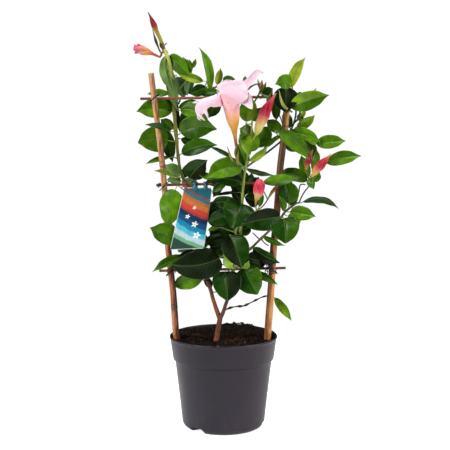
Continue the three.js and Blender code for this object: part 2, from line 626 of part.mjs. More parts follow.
const centreVine = {
  stems: [
    {
      path: [[229.1, 289.6, -21], [231, 280, -20], [234, 267, -18], [237.5, 252, -16], [240, 236, -15],
        [241.6, 218, -15], [242.2, 204, -15], [243, 190, -14], [244, 178, -13], [246, 166, -12],
        [248.8, 150, -11], [251, 135, -9], [252.3, 118, -7], [252.8, 108, -6]],
      radii: [2.5, 2.3, 2.0, 1.9, 1.8, 1.5, 1.2],
    },
    {
      path: [[244.8, 168, -13], [238, 161, -18], [235, 153, -21], [236.2, 146.9, -22.5]],
      radii: [1.4, 1.4],
    },
    { path: [[250.5, 145, -13], [253.5, 139, -18], [255.4, 135.2, -21]], radii: [1.2, 1.2] },
    { path: [[252, 116, -7], [254, 103, -11], [258, 96, -11], [261, 88, -7]], radii: [1.2, 1.3] },
    { path: [[261, 88, -7], [258.6, 84, -6], [252, 86, -5], [247, 90, -4]], radii: [0.9, 0.8] },
    {
      path: [[237, 240, -16], [236.6, 229, -22], [246, 218.5, -27], [257, 210.5, -28], [261.4, 207.6, -27]],
      radii: [1.5, 1.2],
    },
    { path: [[257, 210.5, -28], [255.8, 207.2, -29], [255.6, 204, -30]], radii: [1.1, 1.1] },
    { path: [[261.4, 207.6, -27], [265.5, 203, -25], [268.8, 197.5, -23]], radii: [1.0, 0.9] },
  ],
  leaves: [
    [247, 121.5, -14, 252, 95.5, -18, 17.5, 5, -2, 3],
    [244, 85, -5, 245.2, 75.5, -4, 5, 20, 0, 1],
    [253, 121, -4, 262, 107, 4, 10, 10, 0, 2],
    [250.8, 151.5, -14, 253.5, 131.5, -17, 14, 8, 0, 2],
    [250, 153, -14, 239.5, 139, -22, 10, 20, 0, 2],
    [252, 136, -4, 239.5, 128.5, 6, 12, 25, 1, 3],
    [254, 146, 2, 270.5, 125.5, 13, 17, 10, 1, 3],
    [251, 155.5, -14, 268, 146, -24, 6, 25, 1, 2],
    [246.5, 168.5, -8, 274, 175.5, 2, 9, 55, -1, 2],
    [247, 160, -6, 241, 150, 2, 11, 10, 0, 1],
    [242, 168.5, -17, 206.5, 178.5, -30, 21, 18, 6, 4],
    [242, 182, -15, 211, 177.5, -14, 14, 165, 2, 2],
    [247, 193, 4, 259, 177, 14, 16, 15, 0, 2],
    [240, 194, 4, 235, 175, 16, 16, 10, 0, 2],
    [245, 197, -10, 259, 204, 8, 15, -20, 0, 3],
    [263.5, 182, -27, 298.5, 178.5, -33, 12, -25, 2, 4],
    [239.5, 206, -19, 210.5, 204, -6, 14, -25, 7, 4],
    [241.5, 204, -18, 232, 228, -42, 32, 0, 0, 4],
    [229, 215, -20, 207.5, 222, -24, 16, -12, 1, 3],
    [223, 252, -24, 171.5, 263, -34, 42, -15, -7, 4],
    [233, 159, -15, 209, 146.5, -8, 5, 30, 1, 1],
    [226, 182, -9, 212, 193, -10, 9, 20, 0, 2],
    [217, 228, -22, 207.5, 230.5, -26, 5, 30, 0, 1],
    [230.5, 237, -22, 242, 268, -40, 27, -5, -1, 4],
    [226, 271.5, -24, 227.5, 301, -38, 29, -5, 0, 4],
    [244, 268, -20, 257.5, 292.5, -30, 26, 8, 0, 4],
    [254, 271, -20, 278, 285, -30, 9, 35, -3, 3],
    [239, 267, -14, 250, 261, -22, 9, 70, 2, 2],
    [225.5, 260, -22, 235, 270, -28, 8, 40, 1, 1],
    [246, 257, -10, 268, 262, 4, 19, 0, 1, 3],
    [228, 226, -8, 210, 238, 2, 20, -15, 1, 4],
    [230, 240, -8, 212, 256, 8, 22, -15, 1, 4],
    [262, 218, -2, 246, 226, -8, 12, -20, 0, 2],
    [262.5, 97, -8, 273, 88.5, -2, 11, 10, -1, 2],
    [259, 207, -28, 263, 192.5, -24, 5, 20, 0, 1],
    [239, 230, -4, 229, 222, 20, 18, 25, 0, 4],
    [238, 232, -2, 251, 226, 12, 13, 10, 0, 3],
    [236, 258, 0, 222, 250, 26, 20, 25, 0, 4],
    [243, 196, 6, 240, 167, 14, 18, 10, 0, 3],
  ],
};

const rightVine = {
  stems: [
    {
      path: [[238.4, 255, -14], [243, 253, -13], [249, 250, -13], [260, 239.5, -16], [269, 231, -21],
        [279, 220, -23], [285, 212, -19], [291, 207, -14], [297, 203, -12]],
      radii: [2.0, 1.9, 1.8, 1.6, 1.5],
    },
    {
      path: [[298.2, 203.5, -12], [302, 196, -12], [305.4, 190.5, -12], [309.6, 185, -12],
        [310.2, 178, -12]],
      radii: [1.08, 1.06],
    },
    {
      path: [[295.5, 203.5, -12], [298.6, 193, -10], [300.6, 184.5, -10], [305, 184.5, -11]],
      radii: [1.1, 1.0],
    },
    { path: [[309.5, 180, -12], [307, 174, -14], [305.9, 170.4, -15]], radii: [1.08, 1.06] },
    { path: [[310, 179, -12], [311, 177.4, -14.6]], radii: [1.1, 1.1] },
    { path: [[310, 178.4, -12], [312.6, 173, -6], [318, 167, -3], [327, 163.5, -6]], radii: [1.1, 1.0] },
    { path: [[260, 239.5, -16], [256, 236, -14], [253, 233, -12]], radii: [1.0, 0.8] },
    { path: [[262, 240, -16], [265, 243.5, -18], [268.4, 245.5, -19]], radii: [1.0, 0.8] },
  ],
  leaves: [
    [292, 202, -18, 286, 181, -20, 20, 8, 2, 2],
    [284, 211, -21, 279, 196, -28, 8, 35, 1, 1],
    [303, 202, -10, 338.5, 209, -4, 9, 40, -13, 5],
    [290, 212, -20, 316, 216.5, -32, 15, -12, 0, 3],
    [282, 215.5, -27, 244.5, 226, -44, 20, -10, 1, 4],
    [283.5, 218.5, -27, 285.5, 243.5, -42, 29, 0, -1, 4],
    [263, 236.5, -17, 285, 246, -30, 7, 35, -1, 2],
    [288, 216, -16, 301, 221, 2, 14, -15, 0, 3],
    [253, 248.5, -15, 280, 263, -30, 15, 35, -1, 4],
    [327, 163, -6, 361.5, 156, -14, 14, -12, -2, 4],
    [312.5, 170, -3, 316.5, 148.5, 4, 9, 20, 1, 2],
    [312, 181, -10, 319.5, 171, -4, 10, 20, 0, 2],
    [309, 179, -14, 314, 189.5, -24, 8, 0, 0, 2],
    [307, 181, -8, 279, 172, 6, 14, 20, 2, 3],
    [308, 178, -6, 301, 155, 8, 11, 0, 0, 2],
    [292, 206, 0, 286, 190, 30, 16, 25, 0, 4],
    [287, 226, 2, 281, 240, 22, 16, -25, 0, 3],
  ],
};

const topRightShoot = {
  stems: [
    {
      path: [[246.2, 167.4, -12], [252, 163, -8], [258, 159, -4], [268, 151.8, 1], [279, 143, 5],
        [288, 134.5, 5], [293.5, 124, 0], [296, 112, -6], [294.5, 100, -14], [291.6, 89, -20]],
      radii: [1.5, 1.5, 1.4, 1.3],
    },
    { path: [[291, 130, 3], [300, 130, 2], [308, 133, 0], [316, 142, -4]], radii: [1.3, 1.0] },
    { path: [[293.5, 124, 0], [299, 117, -4], [301, 108, -8]], radii: [1.1, 0.9] },
    { path: [[284, 138, 4], [282, 122, 3], [276, 108, 1], [274.6, 102, 0]], radii: [1.1, 0.9] },
  ],
  leaves: [
    [291, 87.5, -21, 305.8, 57.5, -26, 11.5, 20, -6, 3],
    [291, 85, -22, 275, 84.5, -32, 15, 5, 4, 3],
    [286.5, 87.5, -20, 286.5, 113, -21, 24, 0, 1, 2],
    [297, 101, -16, 303, 93, -6, 10, 10, 0, 2],
    [291, 107.5, -21, 329.5, 95, -34, 18.5, 8, -3, 4],
    [300, 103, -10, 316.5, 88, -6, 9, 150, 1, 2],
    [297, 127, 0, 315, 115, -8, 10.5, 20, 1, 2],
    [298, 120, -3, 303, 112, -6, 7, 15, 0, 1],
    [275, 101, -2, 276.5, 121, 2, 10, -25, 1, 2],
    [281, 132, 4, 266, 119.5, 8, 12, 10, 0, 2],
    [278.5, 132, -20, 308.5, 160, -32, 15, 15, -7.5, 4, 0],
    [291, 132, -2, 320.5, 142, -14, 13, -12, -2, 4],
    [316.5, 144, -5, 304.5, 134.5, -15, 7, 0, 0, 2],
    [316.5, 143.5, -5, 346, 141, -12, 14, -12, 0, 3],
    [281, 135.5, 0, 262, 151, -6, 9, 55, -1, 2],
    [305, 140, 3, 315, 159, 8, 13, -15, 0, 2],
    [277, 104, 4, 266, 97, 6, 12, 10, 0, 2],
    [288, 134, 8, 300, 152, 26, 18, 10, 0, 3],
    [290, 128, 4, 284, 112, 24, 10, 10, 0, 3],
  ],
};

const lowLeaf = {
  root: [271.9, 296.6, 2.6],
  base: [274.5, 298, 3],
  tip: [291.5, 321, -6],
  width: 10,
  roll: 30,
  bow: -3,
  lift: 2,
};

function lowLeafSolid() {
  const { width, roll, bow, lift } = lowLeaf;
  const [root, base, tip] = [lowLeaf.root, lowLeaf.base, lowLeaf.tip].map(place);
  return leafSolid(root, base, tip, width * MM_PER_PIXEL, roll, bow, lift);
}

// Open bloom: funnel tube with a dished mouth, and five petals spread from its rim. A petal joins the
// rim between two turns; from there each row gives its two edges in the front view.
const FLOWER_BASE = [236.3, 146.2, -22.7];
const FLOWER_THROAT = [231, 104, -44];
const TUBE_RADII = [[0, 2.0], [0.2, 2.5], [0.36, 4.2], [0.6, 9.0], [0.85, 11.6], [1, 12.6]];
const DISH_RADII = [[0.985, 10.8], [0.9, 6.5], [0.8, 2.5]];
const PETAL_ROOT = [0.88, 10.0];
const PETAL_RIM = [1.0, 12.6];
const PETAL_DISH = 0.16;
const TUBE_SIDES = 10;
const petals = [
  {
    turns: [154, 226],
    edges: [
      [217, 95.6, -54, 217, 107.3, -58], [208.5, 97.3, -56, 210.5, 106.5, -62],
      [201, 99.2, -57, 206.5, 109.8, -64], [196.4, 104, -57, 204.2, 113, -62],
      [195.4, 110.5, -56, 201.6, 116, -59], [198, 117, -55, 200.5, 119, -56],
    ],
  },
  {
    turns: [154, 82],
    edges: [
      [220, 93, -44, 243, 94, -44], [218.2, 88.5, -38, 245.5, 89, -38], [220.3, 83.3, -29, 245, 83.5, -31],
      [225.5, 81, -23, 241.5, 80.6, -24], [231, 80, -20, 236, 80, -20],
    ],
  },
  {
    turns: [82, 10],
    edges: [
      [238, 86, -40, 246.5, 91, -43], [246, 79.2, -36, 251.8, 84, -39], [251.3, 73.8, -34, 256.6, 78.4, -36],
      [256.3, 69.6, -32, 259.8, 73, -34], [260, 70.4, -32, 261, 73.2, -33],
      [263.3, 72.4, -32, 263.2, 73.6, -32],
    ],
  },
  {
    turns: [10, -62],
    edges: [
      [244, 91, -48, 240, 103.2, -62], [249.5, 93, -52, 245.5, 106.2, -68],
      [252, 99, -56, 250.2, 108.8, -70], [252.9, 106.5, -62, 252.6, 109.4, -66],
    ],
  },
  {
    turns: [226, 298],
    edges: [
      [225, 96.5, -66, 239.5, 102.2, -66], [227.5, 95.2, -78, 239, 101.6, -78],
      [232, 96.6, -87, 236, 99.2, -87],
    ],
  },
];

function flowerSolid() {
  const base = place(FLOWER_BASE);
  const throat = place(FLOWER_THROAT);
  const axis = throat.clone().sub(base);
  const across = v(1, 0, 0).addScaledVector(axis, -axis.x / axis.lengthSq()).normalize();
  const other = axis.clone().cross(across).normalize();
  const rimPoint = ([share, radius], degrees) => {
    const turn = THREE.MathUtils.degToRad(degrees);
    return base.clone().addScaledVector(axis, share).addScaledVector(across, radius * Math.cos(turn))
      .addScaledVector(other, radius * Math.sin(turn));
  };
  const rings = [...TUBE_RADII, ...DISH_RADII].map((level) => (
    Array.from({ length: TUBE_SIDES }, (_, j) => rimPoint(level, (360 * j) / TUBE_SIDES))));
  const sheets = petals.map(({ turns, edges }) => petalSolid([
    turns.map((turn) => rimPoint(PETAL_ROOT, turn)),
    turns.map((turn) => rimPoint(PETAL_RIM, turn)),
    ...edges.map((row) => [place(row.slice(0, 3)), place(row.slice(3))]),
  ]));
  return fuse([skin(rings), ...sheets]);
}

// Petal: a thin sheet between two edge lines, a little dished across
function petalSolid(edges) {
  const middles = edges.map(([a, b]) => a.clone().add(b).multiplyScalar(0.5));
  const rings = edges.map(([a, b], i) => {
    const before = middles[Math.max(i - 1, 0)];
    const after = middles[Math.min(i + 1, middles.length - 1)];
    const width = b.clone().sub(a);
    const normal = after.clone().sub(before).cross(width).normalize();
    return bladeRing(a, middles[i].clone().addScaledVector(normal, PETAL_DISH * width.length()), b, normal);
  });
  const sheet = bladeSkin(rings);
  return sheet.volume() > 0 ? sheet : bladeSkin(rings.reverse());
}

// Value read off a list at a share of its length
function along(values, share) {
  const at = share * (values.length - 1);
  const low = Math.min(Math.floor(at), values.length - 2);
  return THREE.MathUtils.lerp(values[low], values[low + 1], at - low);
}

// Buds: spindles along a curve, radii listed from base to tip
const buds = {
  bud_top_left: {
    path: [[164.2, 48.6, 5.8], [159.5, 37.5, 3], [155.4, 28.6, 1], [150.5, 17, -1], [147.8, 11.7, -2]],
    radii: [1.8, 3.2, 3.4, 3.4, 5.0, 4.6, 3.0, 1.2, 0.4],
  },
  spent_bloom: {
    path: [[152.5, 53.7, 2], [146, 51.5, 0], [139, 49, -2], [134, 48.3, -4]],
    radii: [1.8, 3.6, 5.6, 7.0, 7.9, 8.2, 7.6, 5.0],
  },
  bud_centre: {
    path: [[255.8, 135.2, -21.4], [259, 127, -24], [264, 115, -28], [269.5, 104, -31], [276.3, 93.2, -33]],
    radii: [2.2, 6.2, 7.6, 8.4, 9.0, 7.8, 5.2, 2.4, 0.5],
  },
  bud_right_small: {
    path: [[306, 169.7, -15.5], [308.5, 160, -17], [313, 149.4, -19]],
    radii: [1.8, 3.8, 5.0, 5.1, 3.5, 1.6, 0.4],
  },
  bud_right: {
    path: [[311.5, 176.8, -15.4], [318, 168, -19], [326, 159.5, -22], [331, 153.7, -25]],
    radii: [1.8, 4.0, 6.4, 7.4, 6.8, 4.6, 2.0, 0.5],
  },
  bud_rolled: {
    path: [[255.6, 203.8, -30.1], [257.2, 197, -32], [259.2, 188, -36], [260, 180, -39]],
    radii: [1.7, 2.6, 4.6, 7.4, 8.8, 9.0, 8.2, 5.0],
  },
  bud_low: {
    path: [[268.9, 197.3, -22.9], [272.6, 191.4, -21.4], [276, 187.4, -20.6], [279.8, 183.4, -20]],
    radii: [1.3, 2.2, 2.8, 2.8, 1.6, 0.4],
  },
};

function budSolid({ path, radii }) {
  return rod(smooth(path.map(place), radii.length), radii, 8);
}

// Slender green buds and calyx points, fused to the stems that carry them
const greenSpikes = {
  centre_vine: [
    [[241.8, 168, -16], [234.6, 165, -19], [227, 146, -24], 1.5],
    [[243.6, 169.5, -16], [238, 164.4, -18], [238.5, 148.6, -24], 1.6],
    [[252, 137, -9], [247.5, 131, -14], [245.6, 121.5, -18], 1.4],
    [[261, 89, -7], [264.5, 84, -9], [266, 79.5, -11], 1.5],
    [[261, 89, -7], [261, 84, -6], [260.4, 77.5, -6], 1.4],
    [[261, 89, -7], [256.5, 84, -2], [255, 77, 0], 1.2],
    [[259.4, 93, -9], [268.5, 97, -14], [272.5, 90, -17], 1.6],
  ],
  top_right_shoot: [
    [[292, 112, -12], [282.5, 104, -32], [279, 90, -36], 1.9],
    [[300, 109, -8], [299.6, 118, -10], [300.8, 127, -12], 1.3],
  ],
};

function spikeSolids(name) {
  return greenSpikes[name].map(([start, middle, end, radius]) => (
    rod(smooth([start, middle, end].map(place), 5), [radius * 0.8, radius, radius * 1.35, radius, 0.4], 5)));
}

// Assembly
const group = new THREE.Group();

function add(name, shape, finish) {
  const bodies = shape.simplify(SMALLEST_STEP).decompose();
  const mesh = bodies.reduce((best, body) => (body.volume() > best.volume() ? body : best)).getMesh();
  const geometry = new THREE.BufferGeometry();
  geometry.setAttribute('position', new THREE.BufferAttribute(new Float32Array(mesh.vertProperties), 3));
  geometry.setIndex(new THREE.BufferAttribute(new Uint32Array(mesh.triVerts), 1));
  geometry.computeVertexNormals();
  const material = new THREE.MeshStandardMaterial({ metalness: 0, ...colours[finish] });
  const piece = new THREE.Mesh(geometry, material);
  piece.name = name;
  group.add(piece);
}

add('pot', potSolid(), 'pot');

const stemHole = rod(trunkPoints(), TRUNK_RADII.map((radius) => radius + GAP), 7);
const soil = soilSolid()
  .subtract(caneSolid(canes.left, GAP))
  .subtract(caneSolid(canes.right, GAP))
  .subtract(stemHole);
add('soil', soil, 'soil');

add('stake_left', caneSolid(canes.left), 'cane');
add('stake_right', caneSolid(canes.right), 'cane');
Object.entries(crossbars).forEach(([name, ends]) => {
  add(`crossbar_${name}`, rod(smooth(barPoints(ends), 4), [STICK_RADIUS, STICK_RADIUS], 8), 'stick');
  const bar = barPoints(ends);
  ['left', 'right'].forEach((side) => {
    const cane = canes[side];
    const end = side === 'left' ? bar[0] : bar[1];
    const crossing = caneAt(cane, end.z);
    const lean = side === 'left' ? Math.PI / 4 : -Math.PI / 4;
    add(`tie_${name}_${side}`, tieSolid(cane.radii[0], crossing, lean), 'wire');
  });
});
add('label_tag', cardSolid(), 'card');

add('main_stem', mainStemSolid(), 'wood');
add('left_vine', leafyStem(leftVine).subtract(cleared(leftBranch, 3.4)), 'leaf');
const centreStem = fuse([leafyStem(centreVine), ...spikeSolids('centre_vine')]);
add('centre_vine', centreStem.subtract(cleared(rightBranch, 3.2)), 'leaf');
const centreRod = cleared(centreVine.stems[0].path, 2.5);
add('right_vine', leafyStem(rightVine).subtract(centreRod), 'leaf');
const topShoot = fuse([leafyStem(topRightShoot), ...spikeSolids('top_right_shoot')]);
add('top_right_shoot', topShoot.subtract(centreRod), 'leaf');
add('low_leaf', lowLeafSolid(), 'leaf');
add('flower', flowerSolid(), 'petal');
Object.entries(buds).forEach(([name, bud]) => {
  add(name, budSolid(bud), name === 'spent_bloom' ? 'petal' : 'bud');
});

export default group;
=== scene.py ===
import math

import bpy
import numpy as np
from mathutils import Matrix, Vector


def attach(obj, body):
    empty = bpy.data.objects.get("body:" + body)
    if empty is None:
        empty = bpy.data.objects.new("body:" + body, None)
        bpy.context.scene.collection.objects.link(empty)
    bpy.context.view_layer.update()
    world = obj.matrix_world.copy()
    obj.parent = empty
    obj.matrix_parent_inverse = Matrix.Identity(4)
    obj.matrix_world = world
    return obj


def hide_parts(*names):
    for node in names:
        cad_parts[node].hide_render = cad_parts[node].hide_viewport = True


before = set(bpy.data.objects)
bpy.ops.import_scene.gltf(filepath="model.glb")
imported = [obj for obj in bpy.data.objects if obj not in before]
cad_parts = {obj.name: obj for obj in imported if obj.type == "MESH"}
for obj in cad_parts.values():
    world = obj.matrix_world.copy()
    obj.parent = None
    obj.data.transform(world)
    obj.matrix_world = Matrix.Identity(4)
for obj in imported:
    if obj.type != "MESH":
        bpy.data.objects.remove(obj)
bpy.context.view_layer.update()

# Fine surfaces and finishes of a flowering mandevilla on a bamboo trellis, in its nursery pot.
# Lengths are millimetres here and become metres in the meshes. A layout row gives columns and rows of
# the front view and a depth behind the pot's axis, and place() turns them into real places.

MM = 0.001

# Pot and soil
RIM_RADIUS = 85
POT_HEIGHT = 144.8
COLLAR_FOOT = 107.8
COLLAR_FOOT_RADIUS = 79.6
BODY_TOP_RADIUS = 76.5
BASE_RADIUS = 65.2
CORNER_RADIUS = 9
WALL = 1.4
FLOOR = 3
DRAIN_TURNS = (-131, -11, 109)
DRAIN_WIDTH = 27
DRAIN_HEIGHT = 8
DRAIN_DEPTH = 12
DRAIN_INNER = 46
POT_SIDES = 180
SOIL_LEVEL = 140.8
SOIL_SIDES = 300
SOIL_RINGS = 84
SOIL_DARK = 0x0D0906
SOIL_BROWN = 0x20150D
SOIL_SPECK = 0x4A3424
SOIL_WARM = 0x5A3E2A
BACK_CRUMBS = 110
BACK_CRUMB_TINT = 0x120E0C

# Trellis
GAP = 0.35
CANE_DEPTH = -10
STICK_RADIUS = 2.2
WIRE_RADIUS = 0.9
LOOSE_WIRE = 0.62
BEHIND_LEFT = 5
BEHIND_RIGHT = 6.1
TIE_LEAN = math.radians(45)
CANE_STEPS = 240
CROSSING_STEPS = 400
KNOT_TINT = 0x2E140C
STICK_TINT = 0x8A4B2A
STICK_END_TINT = 0x2A1712

# Places round each kind of rod
CANE_SIDES = 28
STICK_SIDES = 16
WOOD_SIDES = 18
STEM_SIDES = 12
PETIOLE_SIDES = 8
SPIKE_SIDES = 10
BUD_SIDES = 70

# Front view that the layout was read from
VIEW_SIZE = 450
VIEW_CENTRE = VIEW_SIZE / 2
VIEW_FOCAL = 965
VIEW_SENSOR = 36
VIEW_DISTANCE = 1500
VIEW_HEIGHT = 476.8
VIEW_SIDE = 2.4
VIEW_PITCH = math.radians(6)
MM_PER_PIXEL = 1.565
VIEW_POINT = np.array([VIEW_SIDE, -VIEW_DISTANCE, VIEW_HEIGHT])

# Leaves
LEAF_FOLD = math.radians(14)
BLADE = 0.34
PETIOLE_RADII = [1.1875, 0.95, 0.8075, 0.45]
SPIKE_RADII = np.array([0.7, 0.75, 1.1, 1.35, 1.1, 0.6, 0.12])
VEIN_SPACING = 6.4
VEIN_SLANT = 0.62
VEIN_CURL = 0.012
# Rows and columns of a leaf's grid, after the length from which they serve
LEAF_GRIDS = [(42, 36, 17), (22, 26, 13), (0, 16, 9)]
# Marks of stems: far from any midrib and margin, and nowhere an under side
PLAIN = dict(blade=(9, 0, 0), under=(0, 0, 0))


def rgb(code):
    """Linear colour of a six-digit screen colour: each channel runs through the screen's curve."""
    share = np.array([code >> 16 & 255, code >> 8 & 255, code & 255]) / 255
    return np.where(share < 0.04045, share / 12.92, ((share + 0.055) / 1.055) ** 2.4)


# Leaf tones, by the letter at the end of a leaf's layout row. Besides the leaves' own greens they carry
# painted light and shade: the two halves of a leaf often get a lighter and a darker letter for their lit and
# shaded sides, and leaves deep in the foliage get near-black letters as painted shade.
LEAF_TONES_WITH_PAINTED_SHADE = {
    "k": rgb(0x081802),
    "d": rgb(0x163A05),
    "m": rgb(0x2E5606),
    "n": rgb(0x406A0A),
    "b": rgb(0x52800E),
    "l": rgb(0x749C18),
    "y": rgb(0x9EB434),
    "p": rgb(0x74943E),
    "g": rgb(0x3E5E2C),
    "o": rgb(0x646C1E),
}
STEM_GREEN = rgb(0x6A8632)
STEM_PALE = rgb(0x93A84A)


def place(rows):
    """Real places of columns and rows of the front view at depths behind the pot's axis: the sight
    line through each point of the view is followed to that depth."""
    column, row, depth = np.moveaxis(np.asarray(rows, float), -1, 0)
    slope = (row - VIEW_CENTRE) / VIEW_FOCAL
    cos, sin = math.cos(VIEW_PITCH), math.sin(VIEW_PITCH)
    reach = VIEW_DISTANCE + depth
    drop = reach * (sin + slope * cos) / (cos - slope * sin)
    forward = reach * cos + drop * sin
    side = (column - VIEW_CENTRE) / VIEW_FOCAL * forward
    return np.stack([VIEW_SIDE + side, depth, VIEW_HEIGHT - drop], -1)


def unit(arrows):
    """Arrows scaled to length one."""
    return arrows / np.linalg.norm(arrows, axis=-1, keepdims=True)


def smoothstep(value, low, high):
    """0 below low, 1 above high, and the cubic 3t^2 - 2t^3 between them."""
    t = np.clip((value - low) / (high - low), 0, 1)
    return t * t * (3 - 2 * t)


def curve(points, count):
    """Places evenly spread along the centripetal Catmull-Rom spline through the points: each stretch
    is a cubic whose end slopes follow its neighbours, measured finely and cut into equal lengths."""
    p = np.asarray(points, float)
    p = np.vstack([2 * p[0] - p[1], p, 2 * p[-1] - p[-2]])
    gap = np.maximum(np.sqrt(np.linalg.norm(np.diff(p, axis=0), axis=1)), 1e-4)[:, None]
    p0, p1, p2, p3 = p[:-3], p[1:-2], p[2:-1], p[3:]
    g0, g1, g2 = gap[:-2], gap[1:-1], gap[2:]
    slope1 = ((p1 - p0) / g0 - (p2 - p0) / (g0 + g1) + (p2 - p1) / g1) * g1
    slope2 = ((p2 - p1) / g1 - (p3 - p1) / (g1 + g2) + (p3 - p2) / g2) * g1
    t = np.linspace(0, 1, 40, endpoint=False)[None, :, None]
    a, b = p1[:, None], p2[:, None]
    c, d = slope1[:, None], slope2[:, None]
    fine = a + c * t + (3 * (b - a) - 2 * c - d) * t ** 2 + (2 * (a - b) + c + d) * t ** 3
    fine = np.vstack([fine.reshape(-1, p.shape[1]), p[-2:-1]])
    length = np.concatenate([[0], np.cumsum(np.linalg.norm(np.diff(fine, axis=0), axis=1))])
    wanted = np.linspace(0, length[-1], count)
    return np.stack([np.interp(wanted, length, line) for line in fine.T], -1)


def span(points):
    """Length of the line through the points."""
    return np.linalg.norm(np.diff(np.asarray(points, float), axis=0), axis=1).sum()


def stops(share, values):
    """Values of an evenly spaced list, or rows of one, read off at shares from 0 to 1 in straight steps."""
    values = np.asarray(values, float)
    at = np.linspace(0, 1, len(values))
    if values.ndim == 1:
        return np.interp(share, at, values)
    return np.stack([np.interp(share, at, values[:, k]) for k in range(values.shape[1])], -1)


def tinted(share, codes):
    """Linear colours read off at shares of the way through evenly spaced screen colours."""
    return stops(share, [rgb(code) for code in codes])


def mixed(tint, code, share):
    """Linear colours drawn towards one screen colour by shares from 0 to 1."""
    return tint * (1 - share) + rgb(code) * share


def circle(sides):
    """Angles evenly spaced round a circle, from 0."""
    return 2 * math.pi * np.arange(sides) / sides


def ripple(places, size, seed, waves=7):
    """Soft bumps between about -1 and 1: the mean of plane sine waves of roughly the given size, in
    seeded directions and phases."""
    rng = np.random.default_rng(seed)
    arrows = unit(rng.normal(size=(waves, 3))) * (2 * math.pi / size) * rng.uniform(0.6, 1.5, (waves, 1))
    return np.sin(places @ arrows.T + rng.uniform(0, 2 * math.pi, waves)).mean(-1) * 2


def grid_faces(rows, columns, wrap=False):
    """Four-cornered faces between neighbours in a grid of places; wrap joins its last column to its first."""
    i, j = np.meshgrid(np.arange(rows - 1), np.arange(columns if wrap else columns - 1), indexing="ij")
    k = (j + 1) % columns
    corners = [i * columns + j, i * columns + k, (i + 1) * columns + k, (i + 1) * columns + j]
    return np.stack(corners, -1).reshape(-1, 4)


def fan(ring, centre, forwards):
    """Triangles from a ring of places to a middle one; forwards turns them to face along the ring's axis."""
    after = np.roll(ring, -1)
    middle = np.full(len(ring), centre)
    return np.stack([middle, ring, after] if forwards else [middle, after, ring], -1)


def closed(rings):
    """Places and faces of a body made of rings: neighbours are joined, and a fan to its own middle
    closes the first ring and the last."""
    rows, sides = rings.shape[:2]
    places = np.vstack([rings.reshape(-1, 3), rings[0].mean(0), rings[-1].mean(0)])
    first, last = np.arange(sides), np.arange(sides) + (rows - 1) * sides
    return places, [grid_faces(rows, sides, wrap=True), fan(first, rows * sides, False),
                    fan(last, rows * sides + 1, True)]


def both_faces(upper, lower):
    """Rows of values that run over the upper face of a sheet and back under it, as one list."""
    return np.concatenate([upper, lower[:, ::-1]], axis=1).reshape(-1, 3)


def sheet_faces(rows, columns, turned=False):
    """Faces of a sheet whose rows run over it and back under it: its skin, and a strip that closes its
    first row and its last. Turned makes them look the other way."""
    around = 2 * columns
    j = np.arange(columns - 1)
    near = np.stack([j, around - 1 - j, around - 2 - j, j + 1], -1)
    faces = [grid_faces(rows, around, wrap=True), near, near[:, ::-1] + (rows - 1) * around]
    return [group[:, ::-1] for group in faces] if turned else faces


class Skin:
    """Places, faces and marks of one piece, gathered part by part. A mark is a list of numbers that
    every place of the piece has, and its finishes read it as an attribute."""

    def __init__(self):
        self.places, self.faces, self.finishes, self.marks, self.count = [], [], [], {}, 0

    def add(self, places, faces, finish=0, **marks):
        self.places.append(places)
        for group in faces:
            self.faces.append(group + self.count)
            self.finishes.append(np.full(len(group), finish))
        for name, value in marks.items():
            value = np.asarray(value, float)
            wide = value.shape[-1] if value.ndim else 1
            self.marks.setdefault(name, []).append(np.broadcast_to(value, (len(places), wide)))
        self.count += len(places)
        return self

    def mesh(self, name):
        """A Blender mesh of all the parts, with every mark as a colour or vector attribute."""
        sizes = np.concatenate([np.full(len(f), f.shape[1]) for f in self.faces])
        corners = np.concatenate([f.ravel() for f in self.faces]).astype(np.int32)
        mesh = bpy.data.meshes.new(name)
        mesh.vertices.add(self.count)
        mesh.vertices.foreach_set("co", (np.concatenate(self.places) * MM).astype(np.float32).ravel())
        mesh.loops.add(len(corners))
        mesh.loops.foreach_set("vertex_index", corners)
        mesh.polygons.add(len(sizes))
        starts = np.concatenate([[0], np.cumsum(sizes)[:-1]]).astype(np.int32)
        mesh.polygons.foreach_set("loop_start", starts)
        mesh.polygons.foreach_set("material_index", np.concatenate(self.finishes).astype(np.int32))
        mesh.polygons.foreach_set("use_smooth", np.ones(len(sizes), bool))
        mesh.update(calc_edges=True)
        for mark, values in self.marks.items():
            values = np.concatenate(values).astype(np.float32)
            if mark == "tint":
                layer = mesh.attributes.new(mark, "FLOAT_COLOR", "POINT")
                values = np.hstack([values, np.ones((len(values), 1), np.float32)])
                layer.data.foreach_set("color", values.ravel())
            else:
                layer = mesh.attributes.new(mark, "FLOAT_VECTOR", "POINT")
                layer.data.foreach_set("vector", values.ravel())
        return mesh


def piece(name, skin, finishes, slot, *nodes):
    """Makes one piece of the object from a skin: it rides on the part and stands for its CAD nodes."""
    made = bpy.data.objects.new(name, skin.mesh(name))
    bpy.context.scene.collection.objects.link(made)
    for finish in finishes:
        made.data.materials.append(finish)
    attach(made, "root")
    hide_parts(*nodes)


def frames(path):
    """Unit arrows ahead, across and beside a path at each place. Across is the guide axis that the path
    follows least, squared to it."""
    ahead = unit(np.gradient(path, axis=0))
    guide = np.eye(3)[np.abs(ahead).max(axis=0).argmin()]
    across = unit(guide - (ahead @ guide)[:, None] * ahead)
    return ahead, across, np.cross(ahead, across)


